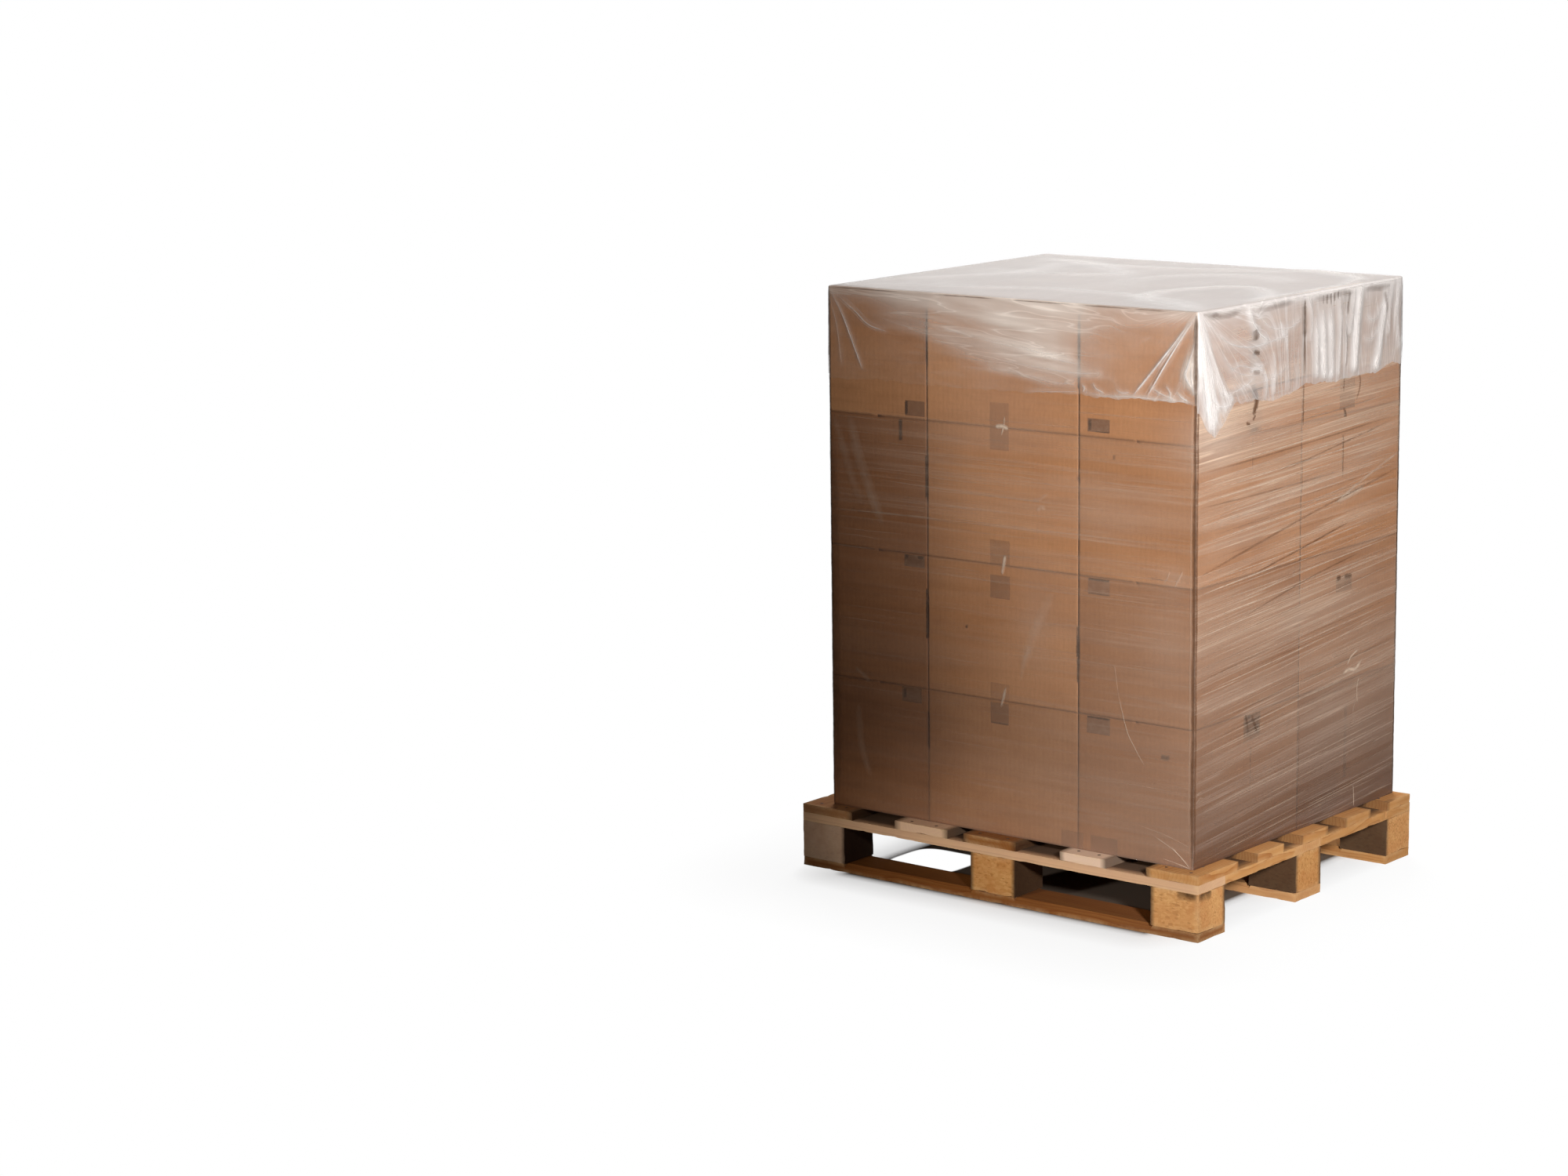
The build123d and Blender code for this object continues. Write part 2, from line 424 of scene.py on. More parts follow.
def finish_mesh(mesh, name, material, attributes, slot, replaced=None):
    """Makes an object of a mesh, with its point attributes, material, body and CAD node; the slot is not used.
    """
    made = bpy.data.objects.new(name, mesh)
    bpy.context.scene.collection.objects.link(made)
    mesh.materials.append(material)
    mesh.polygons.foreach_set("use_smooth", [True] * len(mesh.polygons))
    for label, values in attributes.items():
        values = np.asarray(values, np.float32)
        kind, field = ("FLOAT_VECTOR", "vector") if values.ndim == 2 else ("FLOAT", "value")
        mesh.attributes.new(label, kind, "POINT").data.foreach_set(field, values.ravel())
    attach(made, "root")
    if replaced:
        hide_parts(replaced)
    return made


def mesh_of(bm, name):
    mesh = bpy.data.meshes.new(name)
    bm.to_mesh(mesh)
    bm.free()
    return mesh


def quads(index):
    """The faces of a grid of point numbers."""
    corners = [index[:-1, :-1], index[1:, :-1], index[1:, 1:], index[:-1, 1:]]
    return np.stack(corners, axis=-1).reshape(-1, 4).tolist()


def breaks(low, high, step, extra=(), keep_off=0.0):
    """Even breaks from end to end, with set ones that push away their near neighbours."""
    count = max(1, round((high - low) / step))
    even = [low + (high - low) * n / count for n in range(count + 1)]
    inner = [v for v in even[1:-1] if all(abs(v - e) > keep_off for e in extra)]
    return sorted({round(v, 6) for v in [low, high, *inner, *extra]})


def cell_solid(axes, absent):
    """A closed skin round the cells of a grid, without those that are absent."""
    counts = [len(a) - 1 for a in axes]
    middles = [[(p + q) / 2 for p, q in zip(a, a[1:])] for a in axes]
    bm = bmesh.new()
    corners = {}

    def filled(cell):
        if any(c < 0 or c >= n for c, n in zip(cell, counts)):
            return False
        return absent is None or not absent(*(m[c] for m, c in zip(middles, cell)))

    def corner(place):
        if place not in corners:
            corners[place] = bm.verts.new([a[p] for a, p in zip(axes, place)])
        return corners[place]

    for axis in range(3):
        u, v = (axis + 1) % 3, (axis + 2) % 3
        for cell in np.ndindex(*counts):
            on_shell = absent or cell[axis] in (0, counts[axis] - 1)
            if not on_shell or not filled(cell):
                continue
            for side in (0, 1):
                beyond = list(cell)
                beyond[axis] += 1 if side else -1
                if filled(beyond):
                    continue
                ring = []
                for du, dv in ((0, 0), (1, 0), (1, 1), (0, 1)):
                    place = list(cell)
                    place[axis] += side
                    place[u] += du
                    place[v] += dv
                    ring.append(corner(tuple(place)))
                bm.faces.new(ring if side else ring[::-1])
    return bm


def solid(node, axes, edge, segments, absent=None, shape=None):
    """A node's form as a fine mesh with broken edges, and the places of its points."""
    bm = cell_solid(axes, absent)
    for v in bm.verts if shape else ():
        v.co = shape(v.co)
    sharp = [e for e in bm.edges if e.is_manifold and e.calc_face_angle() > BROKEN_ANGLE]
    bmesh.ops.bevel(
        bm, geom=sharp, offset=edge, segments=segments, profile=0.6, affect="EDGES", clamp_overlap=True,
    )
    mesh = mesh_of(bm, node)
    co = np.empty(len(mesh.vertices) * 3)
    mesh.vertices.foreach_get("co", co)
    return mesh, co.reshape(-1, 3)


def edge_nearness(co, low, high, reach):
    """1 on the box's edges, falling to 0 at the reach, for each point."""
    gaps = np.sort(np.minimum(co - np.array(low), np.array(high) - co), axis=1)
    return np.clip(1 - gaps[:, 1] / reach, 0, 1)


# Wood

ARRIS = 1.3 * MM
BROKEN_ANGLE = 0.7
SHARP_ANGLE = 0.5
NOTCH_DEPTH = 75 * MM
NOTCH_WIDTH = 84 * MM
NOTCH_PITCH = 208 * MM
NOTCH_SHIFT = 32 * MM
NOTCH_CENTRES = [NOTCH_SHIFT + NOTCH_PITCH * (n - 1.5) for n in range(4)]
NOTCHED_BOARDS = ("deck_board_1", "deck_board_5")
LEAD_IN_RUN = 14 * MM
LEAD_IN_RISE = 9 * MM
# How pale each timber is: 0.5 is plain, less is darker with painted shade and more is freshly sawn
TIMBER_TONES_AND_SHADE = {
    "deck_board_1": 0.14, "deck_board_2": 0.82, "deck_board_3": 0.06, "deck_board_4": 1.0,
    "deck_board_5": 0.44, "block_front_left": 0.54, "block_front_centre": 0.42,
    "block_front_right": 0.52, "block_middle_right": 0.44, "block_back_right": 0.52,
    "runner_front": 0.04, "stringer_front": 0.72,
}
AGED = {"block_front_left": 0.70, "deck_board_1": 0.1}
# Dark marks below the near block's upper corner: place, from, to, lowest and highest, in millimetres
CORNER_MARKS = [("front", 540, 598, 97, 117.5), ("right", -498, -440, 97, 117.5)]


def painted_shade_on(node, co, low, high):
    """How much painted shade each point has: the faces that look into the pallet, the stringers' tops back from
    their front edge, and the notches.
    """
    painted_shade = np.zeros(len(co))
    near = 0.9 * MM
    is_block = node.startswith("block")
    if node.startswith(("stringer", "cross_board")):
        # the tops of the stringers and cross boards are painted in shade back from the pallet's outline, where
        # the load's shadow falls
        on_top = co[:, 2] > high.z - near
        inward = np.minimum(PALLET_X - np.abs(co[:, 0]), PALLET_Y - np.abs(co[:, 1]))
        painted_shade[on_top] = np.interp(inward[on_top], [8 * MM, 22 * MM], [0.0, 0.85])
    if is_block or node.startswith("deck_board"):
        for axis, outline in enumerate((PALLET_X, PALLET_Y) if is_block else (PALLET_X,)):
            for face in (low[axis], high[axis]):
                if abs(face) < outline - 1 * MM:
                    painted_shade[np.abs(co[:, axis] - face) < near] = 0.9 if is_block else 0.75
    if node in NOTCHED_BOARDS:
        beyond = np.abs(co[:, 0]) - (PALLET_X - NOTCH_DEPTH)
        for centre in NOTCH_CENTRES:
            in_notch = (np.abs(co[:, 1] - centre) < NOTCH_WIDTH / 2 + 0.6 * MM) & (beyond > -0.6 * MM)
            painted_shade[in_notch] = np.where(beyond[in_notch] < 12 * MM, 0.9, 0.5)
    return painted_shade


def timber(node, material, slot, tone, order, absent=None, extra=((), (), ()), shape=None):
    """A sawn board or block in place of its CAD node, with worn edges and a waved surface."""
    low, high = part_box(node)
    size = high - low
    along = max(range(3), key=lambda i: size[i])
    across, through = [i for i in range(3) if i != along]
    steps = [14 * MM if i == along else max(9 * MM, size[i] / 8) for i in range(3)]
    axes = [breaks(low[i], high[i], steps[i], extra[i], 5 * MM) for i in range(3)]
    mesh, co = solid(node, axes, ARRIS, 1, absent, shape)
    middle = np.array((low + high) / 2)
    arris = edge_nearness(co, low, high, 3 * ARRIS)
    painted_shade = painted_shade_on(node, co, low, high)
    spin = random.Random(order)
    offset = [spin.uniform(-9, 9) for _ in range(3)]
    pith = [0, spin.uniform(-0.06, 0.06), spin.choice((-1, 1)) * spin.uniform(0.02, 0.07)]
    pattern = co[:, [along, across, through]] - np.array([0, middle[across], middle[through]]) - pith
    pattern[:, 0] += offset[0]
    # waves of the sawn faces and chips out of the arrises
    wave = value_noise(co[:, along] / 0.09 + offset[1], co[:, across] / 0.05 + offset[2], order)
    chips = value_noise(co[:, along] / 0.022 + offset[2], co.sum(axis=1) / 0.03, order + 50)
    chip_depth = np.clip(chips - 0.62, 0, 1) * 9 * MM * arris
    inward = middle - co
    inward[:, along] = 0
    inward /= np.maximum(np.linalg.norm(inward, axis=1, keepdims=True), 1e-6)
    co += inward * (wave * 0.7 * MM + chip_depth)[:, None]
    # ragged ends
    ends = np.minimum(co[:, along] - low[along], high[along] - co[:, along])
    ragged = value_noise(co[:, across] / 0.012 + offset[0], co[:, through] / 0.012, order + 90)
    side = np.sign(middle[along] - co[:, along])
    co[:, along] += np.where(ends < 1 * MM, ragged * 1.2 * MM, 0) * side
    mesh.vertices.foreach_set("co", co.ravel())
    attributes = {
        "pattern": pattern, "arris": arris, "painted_shade": painted_shade, "tone": np.full(len(co), tone),
        "end_grain": ends < 1.6 * MM, "aged": np.full(len(co), AGED.get(node, 0.0)),
    }
    finish_mesh(mesh, node + "_worn", material, attributes, slot, node)
    mesh.set_sharp_from_angle(angle=SHARP_ANGLE)


def notched(board):
    """How an outer deck board is cut: which cells are absent, and the breaks that they need."""
    low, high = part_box(board)
    inner = PALLET_X - NOTCH_DEPTH

    def absent(x, y, z):
        return abs(x) > inner and any(abs(y - c) < NOTCH_WIDTH / 2 for c in NOTCH_CENTRES)

    ends = [c + s * NOTCH_WIDTH / 2 for c in NOTCH_CENTRES for s in (-1, 1)]
    return {"absent": absent, "extra": ((math.copysign(inner, low.x),), ends, ())}


def leading_in(runner):
    """The runner's sloped edges in its fork entries, and the breaks that they need."""
    low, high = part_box(runner)
    left, centre, right_block = (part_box(f"block_middle_{c}") for c in ("left", "centre", "right"))
    entries = [(left[1].x, centre[0].x), (centre[1].x, right_block[0].x)]

    def shape(co):
        on_top = co.z > high.z - 0.1 * MM
        on_edge = min(co.y - low.y, high.y - co.y) < 0.1 * MM
        if on_top and on_edge and any(a - 0.1 * MM < co.x < b + 0.1 * MM for a, b in entries):
            return co - Vector((0, 0, LEAD_IN_RISE))
        return co

    x_breaks = [x for a, b in entries for x in (a, a - 6 * MM, b, b + 6 * MM)]
    return {"shape": shape, "extra": (x_breaks, (low.y + LEAD_IN_RUN, high.y - LEAD_IN_RUN), ())}


def pallet():
    """All timbers, each in place of its own CAD node."""
    board_wood = wood_material("board_wood", srgb(212, 156, 94), srgb(174, 110, 52), srgb(154, 108, 72))
    block_wood = chip_material()
    for order, node in enumerate(TIMBERS):
        wood, slot = (block_wood, "block_wood") if node.startswith("block") else (board_wood, "board_wood")
        options = notched(node) if node in NOTCHED_BOARDS else {}
        if node.startswith("runner"):
            options = leading_in(node)
        plain = 0.40 + 0.16 * random.Random(order).random()
        timber(node, wood, slot, TIMBER_TONES_AND_SHADE.get(node, plain), order, **options)


class Patches:
    """Many thin pieces gathered in one mesh, with a cover and a tone at each point."""

    def __init__(self):
        self.points, self.faces, self.cover, self.tone = [], [], [], []

    def grid(self, points, cover, tone):
        """Adds a grid of points, rows by columns."""
        shape = points.shape[:2]
        index = len(self.points) + np.arange(shape[0] * shape[1]).reshape(shape)
        self.points.extend(points.reshape(-1, 3).tolist())
        self.faces.extend(quads(index.T))
        for kept, values in ((self.cover, cover), (self.tone, tone)):
            kept.extend(np.broadcast_to(values, shape).ravel().tolist())

    def piece(self, name, material, slot):
        mesh = bpy.data.meshes.new(name)
        mesh.from_pydata(self.points, [], self.faces)
        attributes = {"cover": self.cover, "tone": self.tone, "pattern": self.points}
        finish_mesh(mesh, name, material, attributes, slot)


def nail_heads():
    """Nails through the deck boards into each stringer."""
    heads = Patches()
    spin = random.Random(5)
    turn = np.linspace(0, 2 * math.pi, 13)
    radii = np.array([4.2, 4.2, 3.6, 0.01])[:, None] * MM
    rise = np.array([-0.6, 0.1, 0.5, 0.6])[:, None] * MM + 0 * turn
    for board in (f"deck_board_{n}" for n in range(1, 6)):
        low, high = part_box(board)
        notch_start = abs(low.x + high.x) / 2 + 0.4 * MM
        for stringer in (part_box(f"stringer_{row}") for row in ("front", "middle", "back")):
            for share_x, share_y in ((a, b) for a in (0.24, 0.72) for b in (0.2, 0.75)):
                x = low.x + (high.x - low.x) * share_x + spin.uniform(-6, 6) * MM
                y = stringer[0].y + (stringer[1].y - stringer[0].y) * share_y + spin.uniform(-8, 8) * MM
                outer = board in NOTCHED_BOARDS and abs(x) > notch_start
                if outer and any(abs(y - c) < NOTCH_WIDTH / 2 + 6 * MM for c in NOTCH_CENTRES):
                    continue
                ring = [x + radii * np.cos(turn), y + radii * np.sin(turn), high.z + rise]
                heads.grid(np.stack(ring, axis=-1), 1.0, 1.0)
    heads.piece("nail_heads", nail_material(), "board_wood")


def block_marks():
    """The dark marks by the near block's upper corner."""
    marks = Patches()
    off = 0.3 * MM
    for side, start, end, bottom, top in CORNER_MARKS:
        s, z = np.meshgrid(np.linspace(start, end, 14) * MM, np.linspace(bottom, top, 9) * MM)
        x, y = (s, 0 * s - PALLET_Y - off) if side == "front" else (0 * s + PALLET_X + off, s)
        u = (s / MM - start) / (end - start) * 2 - 1
        v = (z / MM - bottom) / (top - bottom)
        uneven = 0.7 + 0.6 * value_noise(s / 0.02, z / 0.01, 17)
        marks.grid(np.stack([x, y, z], axis=-1), np.clip((1 - u ** 4) * v ** 0.8 * uneven, 0, 0.8), 0.0)
    material = strand_material("dark_marks", srgb(70, 44, 24), srgb(120, 84, 52))
    marks.piece("block_marks", material, "block_wood")


# Cartons

BOARD_ROUNDING = 1.8 * MM
FLAP_GROOVE = 1.4 * MM
# Painted shade: cartons that are darker than their neighbours, or paler
PAINTED_CARTON_SHADES = {
    "carton_layer2_right_1": 0.42, "carton_layer3_right_1": 0.24, "carton_layer2_right_2": 0.20,
    "carton_layer1_right_1": 0.10, "carton_layer1_right_2": 0.46, "carton_layer1_middle_1": 0.16,
    "carton_layer2_middle_1": -0.1, "carton_layer4_middle_1": -0.2, "carton_layer4_left_1": -0.12,
}
# Places where the front walls of two neighbours part: the seam, lowest and highest level, in millimetres
WALL_GAPS = [
    (SEAM_LEFT, 986, 1094), (SEAM_LEFT, 630, 759), (SEAM_LEFT, 1330, 1462), (SEAM_LEFT, 360, 440),
    (SEAM_RIGHT, 628, 712), (SEAM_RIGHT, 1330, 1450), (SEAM_RIGHT, 1060, 1090),
]


def carton_tone_and_painted_shade(node, co, plain):
    """How bright a carton is: its own tone, with painted shade that makes it darker to the bottom and the left,
    as in the photo.
    """
    layer = int(node.split("_")[1][-1])
    darker = 0.08 * (3 - layer)
    if "left" in node:
        darker = 0.32 if layer == 4 else 0.74
    tone = np.full(len(co), np.clip(plain - darker - PAINTED_CARTON_SHADES.get(node, 0.0), 0, 1))
    if layer < 4 and node.endswith("middle_1"):
        # the painted shade of the left column reaches a little beyond the seam
        tone -= np.interp(co[:, 0] - SEAM_LEFT, [0, 65 * MM, 130 * MM], [0.42, 0.20, 0.0])
    return np.clip(tone, 0, 1)


def carton(node, material, order, gaps):
    """A closed carton in place of its CAD node: soft creases, slack walls and the flaps' line."""
    low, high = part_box(node)
    size = np.array(high - low)
    middle = (low + high) / 2
    flap_axis = 1 if "middle" in node else 0
    inset = 6 * MM
    extra = [(), (), ()]
    extra[flap_axis] = tuple(middle[flap_axis] + d for d in (-FLAP_GROOVE, 0, FLAP_GROOVE))
    levels = sorted({round(z, 6) for g in gaps for z in g[1:]})
    extra[2] = tuple(z for z in levels if low.z + 0.02 < z < high.z - 0.02)
    axes = [
        breaks(low[i], high[i], 26 * MM, (*extra[i], low[i] + inset, high[i] - inset), 8 * MM)
        for i in range(3)
    ]
    mesh, co = solid(node, axes, BOARD_ROUNDING, 3)
    spin = random.Random(order + 700)
    shift = spin.uniform(0, 90)
    share = (co - np.array(low)) / size
    bulge = np.clip(4 * share * (1 - share), 0, 1) ** 0.5
    for axis in (0, 1):
        # walls that face a neighbour lean into the gap
        for face, outer, sign in ((low, LOAD_LOW, -1), (high, LOAD_HIGH, 1)):
            if abs(face[axis] - outer[axis]) > 1 * MM:
                beside = np.abs(co[:, axis] - face[axis]) < BOARD_ROUNDING + 0.1 * MM
                co[beside, axis] += sign * 0.45 * MM
    for axis, other in ((0, 1), (1, 0)):
        depth = value_noise(co[:, other] / 0.13 + shift, co[:, 2] / 0.11 + shift, order) * 1.9 * MM
        for side, sign in ((0, 1), (1, -1)):
            wall = np.abs(share[:, axis] - side) * size[axis] < 0.6 * MM
            co[wall, axis] += (sign * depth * bulge[:, other] * bulge[:, 2])[wall]
    # the rounded edges, the flaps' line and the parted walls darken: wear, and painted shade in the gaps
    # between cartons
    crease_dirt_and_shade = edge_nearness(co, low, high, BOARD_ROUNDING)
    on_flap_line = np.abs(co[:, flap_axis] - middle[flap_axis]) < 0.2 * MM
    for z in (low.z, high.z):
        line = on_flap_line & (np.abs(co[:, 2] - z) < 0.1 * MM)
        co[line, 2] += np.sign(middle.z - z) * 3.5 * MM
        crease_dirt_and_shade[line] = 1
    crease_dirt_and_shade *= 0.45
    # where the walls part, the gap is painted dark: painted shade
    for place, bottom, top in gaps:
        near = (np.abs(co[:, 0] - place) < 3 * MM) & (co[:, 1] < low.y + 0.05)
        parted = near & (co[:, 2] > bottom) & (co[:, 2] < top)
        co[parted, 0] += np.sign(middle.x - place) * 2.2 * MM
        crease_dirt_and_shade[parted] = 1
    mesh.vertices.foreach_set("co", co.ravel())
    pattern = co + np.array([shift, shift, 0])
    pattern[:, 0] += co[:, 1]
    attributes = {
        "pattern": pattern, "crease_dirt_and_shade": crease_dirt_and_shade, "tone": carton_tone_and_painted_shade(node, co, spin.uniform(0.8, 1.0)),
    }
    finish_mesh(mesh, node + "_board", material, attributes, "carton_board", node)


def cartons():
    """All cartons, each in place of its own CAD node."""
    board = board_material()
    for order, node in enumerate(CARTONS):
        low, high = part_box(node)
        gaps = []
        for place, bottom, top in WALL_GAPS if node.endswith("_1") else ():
            touching = min(abs(low.x - place), abs(high.x - place)) < 2 * MM
            if touching and low.z < bottom * MM < high.z:
                gaps.append((place, bottom * MM, top * MM))
        carton(node, board, order, gaps)


# Places round the load

class Ring:
    """The way round the load, from its front left corner along the front, in metres."""

    WAYS = np.array([(1, 0), (0, 1), (-1, 0), (0, -1)])

    def __init__(self, grow, radius):
        self.low = np.array(LOAD_LOW)[:2] - grow
        self.high = np.array(LOAD_HIGH)[:2] + grow
        (x0, y0), (x1, y1) = self.low, self.high
        self.corners = np.array([(x0, y0), (x1, y0), (x1, y1), (x0, y1)])
        self.radius = radius
        self.width, self.depth = self.high - self.low
        self.sides = [self.width, self.depth, self.width, self.depth]
        self.starts = np.concatenate([[0], np.cumsum(self.sides)])
        self.length = self.starts[-1]
        self.half = self.width + self.depth

    def side_of(self, along):
        return np.clip(np.searchsorted(self.starts, along, side="right") - 1, 0, 3)

    def at(self, along, height, lift=0.0):
        """Points at those distances round and heights, lifted off the surface."""
        along = np.clip(np.asarray(along, float), 0, self.length)
        side = self.side_of(along)
        p = self.corners[side] + self.WAYS[side] * (along - self.starts[side])[..., None]
        inner = np.clip(p, self.low + self.radius, self.high - self.radius)
        out = p - inner
        out /= np.maximum(np.linalg.norm(out, axis=-1, keepdims=True), 1e-9)
        flat = inner + out * (self.radius + np.asarray(lift)[..., None])
        height = np.broadcast_to(np.asarray(height, float), flat.shape[:-1])
        return np.concatenate([flat, height[..., None]], axis=-1)

    def columns(self, step):
        """Even places round, closer at the rounded corners."""
        places = []
        r = self.radius
        for start, side in zip(self.starts, self.sides):
            count = max(2, round((side - 2 * r) / step))
            places += list(start + np.linspace(0, r, 4))
            places += list(start + np.linspace(r, side - r, count + 1)[1:-1])
            places += list(start + np.linspace(side - r, side, 4)[:-1])
        return np.array(places)


ON_BOARD = Ring(0.0, BOARD_ROUNDING)
FILM = Ring(1.0 * MM, 5 * MM)
SHEET = Ring(2.6 * MM, 7 * MM)


def front(ring, x, z):
    """A place on the front, in millimetres, as the distance round and the height, in metres."""
    return (x * MM - ring.low[0], z * MM)


def right(ring, y, z):
    """The same for a place on the right end."""
    return (ring.starts[1] + y * MM - ring.low[1], z * MM)


def above(ring, x, y):
    """And for one on the top, which stays x and y."""
    return (x * MM, y * MM)


def traced(side, ring, places):
    """A smooth line through places in millimetres, given as plain numbers, two for each place."""
    return smooth_curve([side(ring, *pair) for pair in zip(places[::2], places[1::2])])


# Small things on the cartons: from and to in millimetres, cover and tone of each end of tape
FRONT_TAPES = [
    (-295, 1187, -235, 1225, 0.55, 0.45), (250, 1192, 313, 1224, 0.85, 0.45),
    (-301, 808, -238, 838, 0.70, 0.30), (252, 799, 315, 838, 0.85, 0.55),
    (-311, 462, -250, 500, 0.55, 0.35), (250, 457, 317, 500, 0.75, 0.50),
    (-37, 1181, 19, 1240, 0.22, 0.70), (-37, 1124, 19, 1178, 0.26, 0.62),
    (-37, 842, 22, 902, 0.24, 0.62), (-37, 757, 22, 815, 0.34, 0.60),
    (-37, 503, 20, 545, 0.16, 0.70), (-37, 442, 18, 496, 0.42, 0.55),
    (175, 163, 240, 204, 0.30, 0.75), (262, 164, 340, 203, 0.38, 0.70),
]
RIGHT_TAPES = [
    (-238, 442, -163, 498, 0.26, 0.20), (185, 732, 262, 772, 0.28, 0.12),
    (190, 1190, 262, 1272, 0.35, 0.60), (-236, 1182, -172, 1290, 0.25, 0.70),
    (-232, 1340, -176, 1478, 0.25, 0.80), (196, 1350, 252, 1478, 0.30, 0.70),
]
# Painted shade in dark slots and seams, some dark scuffs, and painted broken shadows: from and to, cover, and
# how far in they fade, in millimetres
FRONT_SCUFFS_AND_SHADE = [
    (-297, 1188, -286, 1224, 0.95, 2), (251, 1194, 262, 1223, 0.75, 3), (270, 1191, 314, 1195, 0.7, 1),
    (-317, 1121, -303, 1178, 0.95, 2), (-300, 826, -286, 839, 0.9, 3), (-262, 828, -240, 839, 0.7, 3),
    (252, 832, 315, 839, 0.9, 2), (252, 799, 315, 802, 0.6, 1), (-308, 470, -296, 498, 0.6, 3),
    (250, 494, 318, 500, 0.8, 2), (462, 418, 490, 434, 0.75, 6), (321, 1128, 331, 1144, 0.5, 4),
    (-114, 670, -104, 682, 0.7, 4), (-36, 442, 18, 447, 0.5, 2), (-235, 986, -226, 1094, 1.0, 1.2),
    (-235, 630, -226, 759, 1.0, 1.2), (218, 638, 227, 716, 1.0, 1.2), (220, 575, 225, 640, 0.9, 1.0),
    (220, 1290, 226, 1470, 0.8, 1.0),
]
RIGHT_SCUFFS_AND_SHADE = [
    (12, 1292, 18, 1482, 1.0, 1.5), (232, 250, 250, 440, 0.35, 5), (-208, 300, -203, 420, 0.4, 1.5),
    (-238, 430, -160, 500, 0.35, 14), (-222, 1400, -196, 1428, 0.8, 6), (-216, 1360, -198, 1384, 0.6, 5),
    (-218, 1262, -194, 1284, 0.8, 6), (-222, 1184, -190, 1204, 0.8, 6), (-212, 1094, -209, 1175, 0.7, 1.2),
    (196, 1262, 226, 1280, 0.7, 6), (208, 1168, 222, 1190, 0.7, 5), (205, 1019, 208, 1130, 0.6, 1.2),
    (188, 760, 206, 775, 0.8, 5), (224, 760, 256, 774, 0.7, 5), (-232, 484, -206, 500, 0.7, 6),
    (-190, 446, -168, 470, 0.6, 6), (196, 1440, 236, 1482, 0.7, 8), (-210, 1290, -200, 1312, 0.5, 4),
]


def wall_patch(patches, place, opposite, lift, cover, tone, soft, seed):
    """A rectangle on the load's side, between two corners; a soft one fades out at its edges."""
    (s0, z0), (s1, z1) = place, opposite
    wide, high = abs(s1 - s0), abs(z1 - z0)
    columns, rows = (max(3, round(size / (5 * MM))) + 1 for size in (wide, high))
    s, z = np.meshgrid(np.linspace(s0, s1, columns), np.linspace(z0, z1, rows))
    if soft:
        u, v = np.meshgrid(np.linspace(0, 1, columns), np.linspace(0, 1, rows))
        edge = np.minimum(np.minimum(u, 1 - u) * wide, np.minimum(v, 1 - v) * high)
        cover = cover * np.clip(edge / soft, 0, 1) * (0.75 + 0.5 * value_noise(s / 0.012, z / 0.012, seed))
    wave = value_noise(s / 0.03, z / 0.03, seed + 1) * 0.25 * MM
    patches.grid(ON_BOARD.at(s, z, lift + wave), np.clip(cover, 0, 1), tone)


def tape_tabs():
    """Tape ends folded over the cartons' edges."""
    tabs = Patches()
    for side, first_seed, rows in ((front, 0, FRONT_TAPES), (right, 40, RIGHT_TAPES)):
        for seed, (a0, z0, a1, z1, cover, tone) in enumerate(rows, first_seed):
            places = (side(ON_BOARD, a0, z0), side(ON_BOARD, a1, z1))
            wall_patch(tabs, *places, 0.15 * MM, cover, tone, 0.0, seed)
    tabs.piece("tape_tabs", tape_material(), "carton_board")


def scuff_and_shade_marks():
    """Painted shade in dark slots, dark scuffs, and painted shadows along the load's upright corners."""
    marks = Patches()
    for side, first_seed, rows in ((front, 0, FRONT_SCUFFS_AND_SHADE), (right, 60, RIGHT_SCUFFS_AND_SHADE)):
        for seed, (a0, z0, a1, z1, cover, soft) in enumerate(rows, first_seed):
            places = (side(ON_BOARD, a0, z0), side(ON_BOARD, a1, z1))
            wall_patch(marks, *places, 0.45 * MM, cover, 0.0, soft * MM, seed)
    # a painted shadow down each upright corner of the load
    for seed, corner in enumerate(ON_BOARD.starts[:4], 90):
        places = ((corner - 6 * MM, LOAD_LOW.z + 2 * MM), (corner + 3 * MM, LOAD_HIGH.z - 2 * MM))
        wall_patch(marks, *places, 0.45 * MM, 0.85, 0.0, 2.0 * MM, seed)
    marks.piece("board_marks", scuff_and_shade_material(), "carton_board")


# Stretch film

# Milky patches: side, place, half width and height in millimetres, and how milky
HAZE_PATCHES = [
    (right, -380, 1190, 130, 80, 0.44), (right, -160, 1185, 150, 40, 0.18),
    (right, 60, 1012, 420, 24, 0.20), (right, 330, 1080, 150, 30, 0.22),
    (right, -300, 930, 160, 24, 0.12), (right, 120, 700, 260, 26, 0.10),
    (front, 480, 700, 70, 90, 0.08), (front, 100, 700, 50, 110, 0.10),
    (front, 330, 1020, 170, 60, 0.05), (front, 505, 860, 45, 30, 0.14),
    (front, -20, 1200, 230, 110, 0.10),
]
